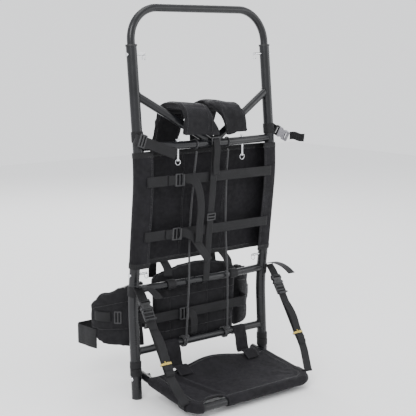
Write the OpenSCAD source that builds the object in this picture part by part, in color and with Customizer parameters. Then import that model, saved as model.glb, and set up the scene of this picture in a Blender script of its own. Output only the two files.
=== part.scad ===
/* [Frame tubes] */
// Distance between the two upright tubes, centre to centre
upright_span = 408; // [404:1:412]
// Outside diameter of the upright tubes
upright_od = 25.4; // [25:0.1:25.6]
// Wall thickness of the upright tubes
upright_wall = 1.6; // [1.5:0.1:1.6]
// Outside diameter of the crossbars, braces, extension and shelf tubes
bar_od = 19; // [18.6:0.1:19]
// Wall thickness of the crossbars, braces, extension and shelf tubes
bar_wall = 1.5; // [1.2:0.1:1.6]
// Length of the straight lower stretch of an upright
low_len = 189; // [186:1:192]
// Length of the straight middle stretch of an upright
mid_len = 225; // [223:1:227]
// Length of the straight top stretch of an upright
top_len = 246; // [244:1:248]
// Centreline radius of the two bends in an upright
bend_r = 500; // [495:5:505]
// Lean of the lower stretch towards the wearer, in degrees
lean_low = 3.3; // [3.2:0.1:3.4]
// Lean of the middle stretch towards the load, in degrees
lean_mid = 6.5; // [6.4:0.1:6.6]
// Lean of the top stretch towards the wearer, in degrees
lean_top = 5.6; // [5.5:0.1:5.7]
// How far the yoke bar bows towards the load
yoke_bow = 20; // [19:1:21]
// How far the lumbar bar bows towards the load
lumbar_bow = 12; // [11:1:13]

/* [Extension] */
// Height of the extension's top bar above the upright ends
extension_rise = 90; // [89:1:91]
// Centreline radius of the extension's corners
extension_corner_r = 78; // [74:1:80]
// Travel of the extension
extension_travel = 140; // [120:5:140]

/* [Shelf] */
// Distance from the shelf's hinge to the centre of its front tube
shelf_reach = 206; // [205:1:207]
// Height of the shelf's hinge above the ground
hinge_z = 50; // [49:1:51]
// Height of the centre of the shelf's front tube above the ground
shelf_front_z = 24; // [22:1:26]
// Centreline radius of the shelf's front corners
shelf_corner_r = 28; // [26:1:32]

/* [Pins] */
// Diameter of the clevis pins and hinge bolts
pin_d = 6; // [5.8:0.1:6]
// Length of a clevis pin under its head
pin_len = 50; // [48:1:52]
// Centreline radius of a split ring
ring_r = 6.8; // [6.6:0.1:7]

/* [Webbing] */
// Width of the narrow webbing
web_w = 25; // [24:1:26]
// Thickness of the webbing
web_t = 1.6; // [1.4:0.1:1.8]
// Width of the waist webbing
waist_w = 50; // [48:1:50]
// Thickness of the padded parts
pad_t = 14; // [12:1:14]

/* [Hidden] */
$fn = 48;

half_w = upright_span / 2;
upright_r = upright_od / 2;
bar_r = bar_od / 2;
pin_r = pin_d / 2;
fit_gap = 0.05;
clear_gap = 0.4;
weld_gap = 0.16;
steel = [0.07, 0.07, 0.08];
nylon = [0.1, 0.1, 0.11];
plastic = [0.13, 0.13, 0.14];
chrome = [0.75, 0.76, 0.78];

// Side profile of an upright: three straight stretches joined by two arcs, as [y, z] points
foot_z = 3;
p0 = [0, foot_z];
p1 = p0 + low_len * [sin(lean_low), cos(lean_low)];
c1 = p1 - bend_r * [cos(lean_low), -sin(lean_low)];
p2 = c1 + bend_r * [cos(lean_mid), sin(lean_mid)];
p3 = p2 + mid_len * [-sin(lean_mid), cos(lean_mid)];
c2 = p3 + bend_r * [cos(lean_mid), sin(lean_mid)];
p4 = c2 - bend_r * [cos(lean_top), -sin(lean_top)];
p5 = p4 + top_len * [sin(lean_top), cos(lean_top)];

// Depth of the upright's centreline at a height
function spine_y(z) =
  z < p1[1] ? p0[0] + (z - foot_z) * tan(lean_low) :
  z < p2[1] ? c1[0] + sqrt(pow(bend_r, 2) - pow(z - c1[1], 2)) :
  z < p3[1] ? p2[0] - (z - p2[1]) * tan(lean_mid) :
  z < p4[1] ? c2[0] - sqrt(pow(bend_r, 2) - pow(z - c2[1], 2)) :
  p4[0] + (z - p4[1]) * tan(lean_top);

// Heights of the crossbars, braces and pins
yoke_z = 618;
brace_z = 741;
lumbar_z = 271;
lower_z = 116;
upper_pin_z = 832;
lower_pin_z = 309;
yoke_pin_x = 100;
panel_bottom = 50;
pin_hole_in = 3.5;
pin_head_gap = 0.3;

yoke_y = spine_y(yoke_z);
yoke_mid_y = yoke_y - yoke_bow;
lumbar_y = spine_y(lumbar_z);
lower_y = spine_y(lower_z);
hinge_y = spine_y(hinge_z);

// Lean of the upright towards the wearer at a height, in degrees
function lean_at(z) = atan((spine_y(z + 1) - spine_y(z - 1)) / 2);
// Radius of an arc with a given half chord and rise
function arc_r(half, rise) = (half * half + rise * rise) / (2 * rise);
// Depth of a bowed bar's centreline at x
function bow_y(x, y_end, bow) =
  y_end - bow + arc_r(half_w, bow) - sqrt(pow(arc_r(half_w, bow), 2) - x * x);

// The 2D child, drawn as [x, offset towards the wearer], carried round a bend that starts
// at the origin, heads up and turns towards the load (turn = 1) or the wearer (turn = -1)
module bend(turn, angle) {
  translate([0, -turn * bend_r, 0]) rotate([90, 0, turn * 90])
    rotate_extrude(angle = angle, $fn = 96)
      translate([bend_r, 0]) mirror([1, -turn]) children();
}
// The place and heading at the end of such a bend
module past_bend(turn, angle) {
  translate([0, -turn * bend_r, 0]) rotate([turn * angle, 0, 0])
    translate([0, turn * bend_r, 0]) children();
}
bend_low = lean_low + lean_mid;
bend_high = lean_mid + lean_top;
// Frames at the foot of each straight stretch, with +Z up along it
module on_low() {
  translate([0, 0, foot_z]) rotate([-lean_low, 0, 0]) children();
}
module on_mid() {
  on_low() translate([0, 0, low_len]) past_bend(1, bend_low) children();
}
module on_high() {
  on_mid() translate([0, 0, mid_len]) past_bend(-1, bend_high) children();
}
module spine() {
  on_low() {
    linear_extrude(low_len) children();
    translate([0, 0, low_len]) bend(1, bend_low) children();
  }
  on_mid() {
    linear_extrude(mid_len) children();
    translate([0, 0, mid_len]) bend(-1, bend_high) children();
  }
  on_high() linear_extrude(top_len) children();
}

module ring_2d(outer, inner) {
  difference() {
    circle(outer);
    circle(inner);
  }
}
module ring_3d(outer, inner, h) {
  linear_extrude(h, center = true) ring_2d(outer, inner);
}
// A straight bar from a to b, with the 2D child as its section
module run(a, b) {
  d = b - a;
  length = norm(d);
  translate(a) rotate([0, acos(d[2] / length), atan2(d[1], d[0])])
    linear_extrude(length) children();
}
// A straight length of the upright's outer surface about a height, which cuts a bar to fit it
module upright_cut(side, z) {
  translate([side * half_w, spine_y(z), z]) rotate([-lean_at(z), 0, 0])
    cylinder(r = upright_r, h = 120, center = true);
}
module x_hole(z, r) {
  translate([0, spine_y(z), z]) rotate([0, 90, 0]) cylinder(r = r, h = 600, center = true);
}

module both_sides(side) {
  mirror([side > 0 ? 0 : 1, 0, 0]) children();
}
module upright(side) {
  color(steel) both_sides(side) difference() {
    spine() translate([half_w, 0]) ring_2d(upright_r, upright_r - upright_wall);
    for (z = [upper_pin_z, lower_pin_z, hinge_z])
      x_hole(z, pin_r + fit_gap);
  }
}

// A crossbar between the uprights, bowed towards the load
module bowed_bar(z, y_end, bow) {
  r = arc_r(half_w, bow);
  half_angle = asin(half_w / r);
  translate([0, y_end - bow + r, z]) rotate([0, 0, -90 - half_angle])
    rotate_extrude(angle = 2 * half_angle, $fn = 96) translate([r, 0]) children();
}
module yoke_bar() {
  color(steel) difference() {
    bowed_bar(yoke_z, yoke_y, yoke_bow) ring_2d(bar_r, bar_r - bar_wall);
    for (side = [-1, 1]) {
      upright_cut(side, yoke_z);
      translate([side * yoke_pin_x, bow_y(yoke_pin_x, yoke_y, yoke_bow), yoke_z])
        cylinder(r = pin_r + fit_gap, h = 60, center = true);
    }
  }
}
module yoke_brace(side) {
  top = [side * half_w, spine_y(brace_z), brace_z];
  low = [0, yoke_mid_y, yoke_z];
  seat_x = 18;
  color(steel) difference() {
    run(top, low) ring_2d(bar_r, bar_r - bar_wall);
    upright_cut(side, brace_z);
    translate([side * seat_x, bow_y(seat_x, yoke_y, yoke_bow), yoke_z])
      rotate([0, 90, side * asin(seat_x / arc_r(half_w, yoke_bow))])
        cylinder(r = bar_r + weld_gap, h = 120, center = true);
    translate([-side * 50 + side * fit_gap, yoke_mid_y, yoke_z]) cube(100, center = true);
  }
}
module lumbar_bar() {
  color(steel) difference() {
    bowed_bar(lumbar_z, lumbar_y, lumbar_bow) ring_2d(bar_r, bar_r - bar_wall);
    for (side = [-1, 1])
      upright_cut(side, lumbar_z);
  }
}
module lower_bar() {
  color(steel) difference() {
    run([-half_w, lower_y, lower_z], [half_w, lower_y, lower_z]) ring_2d(bar_r, bar_r - bar_wall);
    for (side = [-1, 1])
      upright_cut(side, lower_z);
  }
}
module foot_plugs() {
  color(plastic) difference() {
    on_low() for (side = [-1, 1])
      translate([side * half_w, 0, 0]) {
        translate([0, 0, -2 * foot_z]) cylinder(r = upright_r, h = 2 * foot_z);
        cylinder(r = upright_r - upright_wall - fit_gap, h = 16);
      }
    translate([0, 0, -50]) cube([600, 100, 100], center = true);
  }
}

// The extension and its bushes live in a frame that runs up the top stretch
module on_top() {
  on_high() translate([0, 0, top_len]) children();
}
leg_depth = 205;
pin_local = -(p5[1] - upper_pin_z) / cos(lean_top);
module extension_bushes() {
  color(plastic) difference() {
    on_top() for (side = [-1, 1])
      translate([side * half_w, 0, 0]) difference() {
        union() {
          cylinder(r = upright_r + 1.3, h = 4);
          translate([0, 0, -40]) cylinder(r = upright_r - upright_wall - fit_gap, h = 41);
        }
        cylinder(r = bar_r + fit_gap, h = 100, center = true);
      }
    x_hole(upper_pin_z, pin_r + 0.3);
  }
}
module extension_path() {
  straight = extension_rise - extension_corner_r;
  for (side = [-1, 1]) {
    translate([side * half_w, 0, -leg_depth]) linear_extrude(leg_depth + straight) children();
    translate([side * (half_w - extension_corner_r), 0, straight]) rotate([90, 0, 0])
      rotate([0, 0, side > 0 ? 0 : 90]) rotate_extrude(angle = 90)
        translate([extension_corner_r, 0]) children();
  }
  translate([-(half_w - extension_corner_r), 0, extension_rise]) rotate([0, 90, 0])
    linear_extrude(2 * (half_w - extension_corner_r)) children();
}
module extension_tube() {
  color(steel) on_top() difference() {
    extension_path() ring_2d(bar_r, bar_r - bar_wall);
    // Slot that clears the pins at every height, in place of a row of holes
    translate([0, 0, pin_local - extension_travel / 2])
      cube([600, pin_d + 0.8, extension_travel + pin_d + 0.8], center = true);
  }
}
module extension_plugs() {
  color(plastic) on_top() for (side = [-1, 1])
    translate([side * half_w, 0, -leg_depth - 2]) {
      cylinder(r = bar_r, h = 2);
      cylinder(r = bar_r - bar_wall - fit_gap, h = 12);
    }
}

// A clevis pin along +Z, its head's underside at the origin and its shank below
module clevis_pin() {
  color(chrome) difference() {
    union() {
      cylinder(r = 5, h = 2.6);
      translate([0, 0, -pin_len]) cylinder(r = pin_r, h = pin_len);
    }
    translate([0, 0, -pin_len + pin_hole_in]) rotate([90, 0, 0])
      cylinder(r = 1.6, h = 20, center = true);
  }
}
// A split ring that hangs from a hole at the origin, in the plane of the hole
module split_ring() {
  color(chrome) translate([0, 0, -ring_r + 0.35]) rotate([0, 90, 0])
    rotate_extrude() translate([ring_r, 0]) circle(0.9, $fn = 24);
}
pin_hole_x = half_w + upright_r + pin_head_gap - pin_len + pin_hole_in;
module side_pin(side, z) {
  translate([side * (half_w + upright_r + pin_head_gap), spine_y(z), z])
    rotate([0, side * 90, 0]) clevis_pin();
}
module side_ring(side, z) {
  translate([side * pin_hole_x, spine_y(z), z]) split_ring();
}
yoke_pin_y = bow_y(yoke_pin_x, yoke_y, yoke_bow);
yoke_head_z = yoke_z + bar_r + 2.5;
module yoke_pin(side) {
  translate([side * yoke_pin_x, yoke_pin_y, yoke_head_z]) rotate([0, 0, 90]) clevis_pin();
}
module yoke_ring(side) {
  translate([side * yoke_pin_x, yoke_pin_y, yoke_head_z - pin_len + pin_hole_in])
    rotate([0, 0, 90]) split_ring();
}

shelf_x = 180.5;
sleeve_r = 11.3;
shelf_tilt = asin((hinge_z - shelf_front_z) / shelf_reach);
module hinge_bolts() {
  color(chrome) for (side = [-1, 1])
    translate([0, hinge_y, hinge_z]) rotate([0, side * 90, 0]) {
      translate([0, 0, half_w + upright_r]) cylinder(r1 = 5.5, r2 = 4, h = 3);
      translate([0, 0, shelf_x - bar_r - 3]) cylinder(r = pin_r, h = half_w + upright_r - shelf_x + bar_r + 3);
      translate([0, 0, shelf_x - bar_r - 7]) cylinder(r = 5.5, h = 6, $fn = 6);
    }
}
module hinge_collars() {
  color(nylon) for (side = [-1, 1])
    on_low() translate([side * half_w, 0, 59]) linear_extrude(33) ring_2d(upright_r + 0.9, upright_r);
}

// Webbing and cloth bands, cut from a side profile of constant thickness
function unit(v) = v / norm(v);
function turn_left(v) = [-v[1], v[0]];
function heading(p, i) =
  i == 0 ? unit(p[1] - p[0]) :
  i == len(p) - 1 ? unit(p[i] - p[i - 1]) :
  unit(unit(p[i] - p[i - 1]) + unit(p[i + 1] - p[i]));
function miter(p, i) =
  i == 0 || i == len(p) - 1 ? 1 : 1 / max(0.5, heading(p, i) * unit(p[i + 1] - p[i]));
function band(p, t) = concat(
  [for (i = [0 : len(p) - 1]) p[i] + turn_left(heading(p, i)) * miter(p, i) * t / 2],
  [for (i = [len(p) - 1 : -1 : 0]) p[i] - turn_left(heading(p, i)) * miter(p, i) * t / 2]);
// Points of an arc about c
function arc(c, r, from, to, steps) =
  [for (i = [0 : steps]) c + r * [cos(from + (to - from) * i / steps), sin(from + (to - from) * i / steps)]];
// A band whose profile lies in the YZ plane, w wide along X and centred on x
module side_band(p, t, w, x) {
  translate([x, 0, 0]) rotate([90, 0, 90])
    linear_extrude(w, center = true) polygon(band(p, t));
}
// A band whose profile lies in the XY plane, w high and centred on z
module flat_band(p, t, w, z) {
  translate([0, 0, z]) linear_extrude(w, center = true) polygon(band(p, t));
}

// The back panel: one cloth band round both uprights, with flaps on the load side
cloth_t = 2.2;
cloth_r = upright_r + 0.35 + cloth_t / 2;
flap_edge = 172;
panel_route = concat(
  [[-flap_edge, -cloth_r]], arc([-half_w, 0], cloth_r, 270, 90, 12),
  arc([half_w, 0], cloth_r, 90, -90, 12), [[flap_edge, -cloth_r]]);
module panel_2d() {
  polygon(band(panel_route, cloth_t));
}
module back_panel() {
  color(nylon) on_mid() {
    translate([0, 0, panel_bottom]) linear_extrude(mid_len - panel_bottom) panel_2d();
    translate([0, 0, mid_len]) bend(-1, bend_high) panel_2d();
  }
}

// Two straps that pull the panel tight across the load side
upper_strap_z = 536;
lower_strap_z = 404;
strap_gap = cloth_r + cloth_t / 2 + 0.6;
lock_x = -101;
module panel_strap(z) {
  translate([0, spine_y(z), z]) rotate([-lean_at(z), 0, 0]) {
    translate([lock_x + 10, -strap_gap - web_t, -web_w / 2]) cube([285, web_t, web_w]);
    translate([-flap_edge - 20, -strap_gap - web_t, -web_w / 2]) cube([62, web_t, web_w]);
  }
}
module panel_straps() {
  color(nylon) {
    panel_strap(upper_strap_z);
    panel_strap(lower_strap_z);
  }
}
// A plastic ladder lock, its face towards -Y, the pivot bar at the origin and its body along +X
module ladder_lock(w) {
  lock_l = 24;
  color(plastic) rotate([90, 0, 0]) linear_extrude(4) difference() {
    translate([-3, -w / 2 - 3]) square([lock_l, w + 6]);
    for (x = [2, 11])
      translate([x, -w / 2]) square([6, w]);
  }
}
module panel_lock(z) {
  translate([lock_x - 10, spine_y(z), z]) rotate([-lean_at(z), 0, 0])
    translate([0, -strap_gap - web_t - clear_gap, 0]) ladder_lock(web_w);
}

// The centre strap hooks under the yoke bar, and runs over the panel straps to the lumbar bar
lumbar_mid_y = lumbar_y - lumbar_bow;
centre_w = 20;
wrap_r = bar_r + 0.45 + web_t / 2;
module centre_strap() {
  hook_y = yoke_mid_y - wrap_r;
  front_y = hook_y - web_t - clear_gap;
  color(nylon) {
    side_band(concat(arc([yoke_mid_y, yoke_z], wrap_r, 350, 180, 12), [[hook_y, 634]]),
      web_t, centre_w, 0);
    side_band(concat([[front_y, 634], [front_y, 606], [-45.5, 560], [-42, 520], [-26.5, 400], [-15.5, 300]],
      arc([lumbar_mid_y, lumbar_z], wrap_r, 175, 395, 14)), web_t, centre_w, 0);
  }
}
// A three-bar glide, face towards -Y, centred on the origin
module glide(w) {
  color(plastic) rotate([90, 0, 0]) linear_extrude(2.6, center = true) difference() {
    square([w + 7, 19], center = true);
    for (s = [-1, 1])
      translate([0, s * 4]) square([w, 4], center = true);
  }
}
module centre_glides() {
  translate([0, yoke_mid_y - wrap_r - 2 * web_t - 2, 624]) glide(centre_w);
  translate([0, -34, 434]) rotate([7.4, 0, 0]) glide(centre_w);
}

// Stay cords: taut lines from the yoke bar to the lower bar, in front of the panel
stay_d = 5;
stay_left = [[-50, -41, 600], [-50.5, -34, 560], [-51, -29, 526], [-53, -16, 405], [-55, -15.5, 300],
  [-55.5, -15.3, 271], [-56, -14, 240], [-57, -10, 180], [-58, -7, 128]];
stay_right = [[48, -41, 600], [50, -34, 560], [52, -29, 526], [60, -16, 405], [66, -15.5, 300],
  [67.5, -15.3, 271], [69, -14, 240], [72, -10, 180], [74, -7, 128]];
function ring_points(c, r, sides) = [for (k = [0 : sides - 1]) c + r * [cos(360 * k / sides), sin(360 * k / sides), 0]];
module cord_sweep(route, d) {
  sides = 8;
  last = len(route) - 1;
  points = [for (c = route) each ring_points(c, d / 2, sides)];
  walls = [for (i = [0 : last - 1]) for (k = [0 : sides - 1])
    [i * sides + k, i * sides + (k + 1) % sides, (i + 1) * sides + (k + 1) % sides, (i + 1) * sides + k]];
  polyhedron(points, concat(walls, [[for (k = [sides - 1 : -1 : 0]) k]],
    [[for (k = [0 : sides - 1]) last * sides + k]]));
}
module stay_cord(route) {
  color(nylon) cord_sweep(route, stay_d);
}

// Shoulder pads: over the braces, down the wearer's side and forward to a ladder lock
pad_w = 80;
pad_tilt = 6;
pad_top_z = 713;
pad_side = [[-54, 636], [-56, 662], [-51, 690], [-39, 705], [-23, 711], [20, 711], [42, 706], [56, 692],
  [64, 672], [70, 645], [78, 605], [88, 555], [96, 505], [98, 455], [94, 410], [84, 372]];
function pad_x(side) = side < 0 ? -56 : 48;
// The tilted frame of one pad and its webbing
module on_pad(side) {
  translate([pad_x(side), 0, pad_top_z]) rotate([0, side * -pad_tilt, 0])
    translate([0, 0, -pad_top_z]) children();
}
module shoulder_pad(side) {
  color(nylon) on_pad(side) side_band(pad_side, pad_t, pad_w, 0);
}
function anchor_x(side) = pad_x(side) + side * (pad_top_z - lumbar_z) * tan(pad_tilt);
module shoulder_webs() {
  color(nylon) for (side = [-1, 1]) {
    on_pad(side) side_band([[lumbar_y + 1, 286], [19.5, 310], [76, 348], [84, 364]], web_t, web_w, 0);
    translate([anchor_x(side), bow_y(anchor_x(side), lumbar_y, lumbar_bow), lumbar_z]) rotate([0, 90, 0])
      ring_3d(bar_r + 1.3 + web_t, bar_r + 1.3, web_w);
  }
}
module shoulder_locks() {
  for (side = [-1, 1])
    on_pad(side) translate([0, 58, 339.3]) rotate([-56, 0, 0]) glide(web_w);
}

// Hip belt: a lumbar pad behind the bars and two wings that wrap forward
belt_back = 24;
lumbar_t = 26;
wing_r = 120;
wing_c = [126, 166];
wing_t = 24;
module lumbar_pad() {
  color(nylon) translate([0, belt_back + lumbar_t, 0]) rotate([90, 0, 0]) linear_extrude(lumbar_t)
    polygon(concat(
      arc([-100, 120], 30, 180, 270, 5), arc([100, 120], 30, 270, 360, 5),
      arc([105, 270], 32, 0, 90, 5), [[50, 314], [0, 318], [-50, 314]], arc([-105, 270], 32, 90, 180, 5)));
}
// A band of the wing's arc between two radii, two angles and two heights
module wing_arc(r, t, from, to, z, h) {
  translate([wing_c[0], wing_c[1], z]) rotate([0, 0, from])
    rotate_extrude(angle = to - from) translate([r, 0]) square([t, h]);
}
module hip_wing(side) {
  color(nylon) both_sides(side) intersection() {
    wing_arc(wing_r - wing_t, wing_t, -82, -7, 90, 230);
    rotate([90, 0, 90]) linear_extrude(400)
      polygon([[40, 108], [110, 112], [136, 124], [153, 158], [153, 212], [126, 243], [54, 278], [40, 284]]);
  }
}
hip_band_z = 188;
module hip_bands() {
  band_y = 9;
  color(nylon) {
    for (side = [-1, 1])
      both_sides(side) {
        wing_arc(wing_r + 0.6, web_t, -70, -28, hip_band_z - web_w / 2, web_w);
        flat_band([[146, band_y + web_t / 2], [160, 22], [167.2, 49.5]], web_t, web_w, hip_band_z);
      }
    translate([-146, band_y, hip_band_z - web_w / 2]) cube([292, web_t, web_w]);
  }
  glide_r = wing_r + 0.6 + web_t + clear_gap + 1.3;
  glide_at = -48;
  for (side = [-1, 1])
    both_sides(side)
      translate([wing_c[0] + glide_r * cos(glide_at), wing_c[1] + glide_r * sin(glide_at), hip_band_z])
        rotate([0, 90, 90 + glide_at]) glide(web_w);
}
module lumbar_lock() {
  translate([-66, 8.2, hip_band_z]) ladder_lock(web_w);
}
waist_z = 127;
waist_y = 210;
loop_r = 16.5;
waist_set = 5.4;
waist_path = concat(arc(wing_c, wing_r + 1.3, -20, 2, 6),
  arc([250 - loop_r, waist_y - loop_r], loop_r, 0, 90, 6), [[38, waist_y]]);
module waist_web(side) {
  color(nylon) both_sides(side) flat_band(waist_path, web_t, waist_w, waist_z);
}
// Side-release buckle along X: the socket's mouth faces +X at the origin
module release_socket(w, l, t) {
  color(plastic) difference() {
    translate([-l, -t / 2, -w / 2]) cube([l, t, w]);
    translate([-l * 0.62, -t / 2 + 1.6, -w / 2 + 2]) cube([l, t - 3.2, w - 4]);
    for (s = [-1, 1])
      translate([-l * 0.45, -t, s * w / 2 - 3]) cube([l * 0.22, 2 * t, 6]);
    translate([-l + 3.5, -t, -w / 2 + 3]) cube([3.5, 2 * t, w - 6]);
  }
}
module release_plug(w, l, t) {
  inner_t = t - 4.4;
  color(plastic) union() {
    difference() {
      translate([0.5, -t / 2 + 0.4, -w / 2]) cube([l * 0.4, t - 0.8, w]);
      translate([l * 0.4 - 6.5, -t, -w / 2 + 3]) cube([3.5, 2 * t, w - 6]);
    }
    for (s = [-1, 0, 1])
      translate([-l * 0.52, -inner_t / 2, s * (w / 2 - 5) - 2.2]) cube([l * 0.52 + 1, inner_t, 4.4]);
  }
}
module waist_socket() {
  translate([4, waist_y - waist_set, waist_z]) release_socket(58, 46, 8.5);
}
module waist_plug() {
  translate([4, waist_y - waist_set, waist_z]) release_plug(58, 46, 8.5);
}

// Load straps that close over the cargo, stored short on the uprights
load_z = 642;
load_aim = [12, -41, -22];
load_start = [223, -14, 641];
load_mouth = 17;
load_buckle_w = 26;
load_buckle_l = 30;
load_buckle_t = 8;
module load_frame() {
  translate(load_start) rotate([0, acos(load_aim[2] / norm(load_aim)), atan2(load_aim[1], load_aim[0])])
    rotate([0, -90, 0]) children();
}
module at_load_mouth() {
  load_frame() translate([load_mouth, 0, 0]) rotate([0, 0, 180]) children();
}
module load_loop(side) {
  translate([side * half_w, spine_y(load_z), load_z]) rotate([-lean_top, 0, 0])
    ring_3d(upright_r + 0.2 + web_t, upright_r + 0.2, web_w);
}
module load_strap_left() {
  color(nylon) {
    load_loop(-1);
    translate([-half_w - 8, -42.5, load_z - 6]) rotate([0, 21, 0]) translate([0, 0, -web_w / 2])
      cube([106, web_t, web_w]);
  }
}
module load_strap_right() {
  color(nylon) load_loop(1);
  color(nylon) load_frame() translate([-4, -web_t / 2, -10]) cube([8, web_t, 20]);
}
module load_plug() {
  at_load_mouth() release_plug(load_buckle_w, load_buckle_l, load_buckle_t);
}
module load_socket() {
  at_load_mouth() release_socket(load_buckle_w, load_buckle_l, load_buckle_t);
}
module load_tail() {
  color(nylon) run([236.5, -60, 624], [247, -102, 621]) square([20, web_t], center = true);
}

// The shelf, in a frame with its origin on the hinge and the tube running towards -Y
module on_shelf() {
  translate([0, hinge_y, hinge_z]) rotate([shelf_tilt, 0, 0]) children();
}
module shelf_path(back) {
  leg = shelf_reach - shelf_corner_r;
  for (side = [-1, 1]) {
    translate([side * shelf_x, back, 0]) rotate([90, 0, 0]) linear_extrude(leg + back) children();
    translate([side * (shelf_x - shelf_corner_r), -leg, 0])
      rotate([0, 0, side > 0 ? -90 : 180]) rotate_extrude(angle = 90)
        translate([shelf_corner_r, 0]) children();
  }
  translate([-(shelf_x - shelf_corner_r), -shelf_reach, 0]) rotate([0, 90, 0])
    linear_extrude(2 * (shelf_x - shelf_corner_r)) children();
}
module shelf_tube() {
  color(steel) on_shelf() difference() {
    shelf_path(12) ring_2d(bar_r, bar_r - bar_wall);
    rotate([0, 90, 0]) cylinder(r = pin_r + fit_gap, h = 400, center = true);
  }
}
module shelf_plugs() {
  color(plastic) on_shelf() for (side = [-1, 1])
    translate([side * shelf_x, 12, 0]) rotate([90, 0, 0]) {
      translate([0, 0, -2]) cylinder(r = bar_r, h = 2);
      cylinder(r = bar_r - bar_wall - fit_gap, h = 7);
    }
}
notch_x = -112;
notch_w = 52;
module shelf_cover() {
  color(nylon) on_shelf() difference() {
    union() {
      shelf_path(-24) circle(sleeve_r);
      translate([0, 0, 4]) linear_extrude(3.5) polygon([
        [-shelf_x, -28], [-95, -34], [0, -22], [95, -34], [shelf_x, -28],
        [shelf_x, -shelf_reach + 30], [shelf_x - 30, -shelf_reach], [-shelf_x + 30, -shelf_reach],
        [-shelf_x, -shelf_reach + 30]]);
    }
    shelf_path(20) circle(bar_r + 0.2);
    translate([notch_x - notch_w / 2, -shelf_reach - 20, -20]) cube([notch_w, 36, 40]);
  }
}
module shelf_tabs() {
  color(nylon) for (x = [-98, 118]) {
    translate([x, lower_y, lower_z]) rotate([0, 90, 0]) ring_3d(bar_r + 1.9, bar_r + 0.2, 40);
    side_band([[lower_y - 11.5, lower_z - 3], [-13, 82], [-27, 50]], 1.8, 40, x);
  }
}
// Support straps from the uprights to the shelf's front corners
stay_x = 209;
strap_top = [-36, 262];
strap_end = [-188, 34];
strap_way = unit(strap_end - strap_top);
strap_angle = atan2(-strap_way[0], -strap_way[1]);
// A point along a support strap, as [y, z]
function on_strap(along) = strap_top + along * strap_way;
module at_strap(side, along) {
  translate([side * stay_x, on_strap(along)[0], on_strap(along)[1]]) rotate([-strap_angle, 0, 0]) children();
}
module shelf_strap(side) {
  wrap_z = 268;
  color(nylon) {
    intersection() {
      translate([side * half_w, spine_y(wrap_z), wrap_z]) rotate([-lean_at(wrap_z), 0, 0])
        ring_3d(upright_r + 0.4 + web_t, upright_r + 0.4, web_w);
      translate([side * (half_w + 43), 0, wrap_z]) cube([100, 200, 60], center = true);
    }
    side_band([[-16, 282], strap_top, strap_end], web_t, web_w, side * stay_x);
    side_band([on_strap(86), on_strap(200)], 6, web_w - 4, side * stay_x);
    side_band([[-17, 286], [-60, 290], [-104, 274]], web_t, 18, side * stay_x);
  }
}
module shelf_buckles() {
  color(plastic) for (side = [-1, 1])
    at_strap(side, 30) difference() {
      cube([31, 8, 42], center = true);
      for (z = [-17, 17])
        translate([0, 0, z]) cube([26, 20, 3.5], center = true);
      cube([26, web_t + 0.8, 60], center = true);
    }
}
module strap_ties() {
  color("goldenrod") for (side = [-1, 1])
    at_strap(side, 169) difference() {
      cube([28, 9.6, 5], center = true);
      cube([26, 7, 10], center = true);
    }
}

upright(-1);  // upright_left
upright(1);  // upright_right
yoke_bar();
yoke_brace(-1);  // yoke_brace_left
yoke_brace(1);  // yoke_brace_right
lumbar_bar();
lower_bar();
foot_plugs();
extension_bushes();
hinge_bolts();
hinge_collars();
extension_tube();
extension_plugs();
side_pin(-1, upper_pin_z);  // upper_pin_left
side_pin(1, upper_pin_z);  // upper_pin_right
side_pin(-1, lower_pin_z);  // lower_pin_left
side_pin(1, lower_pin_z);  // lower_pin_right
yoke_pin(-1);  // yoke_pin_left
yoke_pin(1);  // yoke_pin_right
side_ring(-1, upper_pin_z);  // upper_ring_left
side_ring(1, upper_pin_z);  // upper_ring_right
side_ring(-1, lower_pin_z);  // lower_ring_left
side_ring(1, lower_pin_z);  // lower_ring_right
yoke_ring(-1);  // yoke_ring_left
yoke_ring(1);  // yoke_ring_right
back_panel();
panel_straps();
panel_lock(upper_strap_z);  // panel_lock_upper
panel_lock(lower_strap_z);  // panel_lock_lower
centre_strap();
centre_glides();
stay_cord(stay_left);  // stay_cord_left
stay_cord(stay_right);  // stay_cord_right
shoulder_pad(-1);  // shoulder_pad_left
shoulder_pad(1);  // shoulder_pad_right
shoulder_webs();
shoulder_locks();
lumbar_pad();
hip_wing(-1);  // hip_wing_left
hip_wing(1);  // hip_wing_right
hip_bands();
lumbar_lock();
waist_web(-1);  // waist_web_left
waist_web(1);  // waist_web_right
waist_socket();
waist_plug();
load_strap_left();
load_strap_right();
load_socket();
load_plug();
load_tail();
shelf_tube();
shelf_plugs();
shelf_cover();
shelf_tabs();
shelf_strap(-1);  // shelf_strap_left
shelf_strap(1);  // shelf_strap_right
shelf_buckles();
strap_ties();
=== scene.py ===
import math
import random

import bmesh
import bpy
from mathutils import Euler, Matrix, Vector
from mathutils.bvhtree import BVHTree


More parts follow.
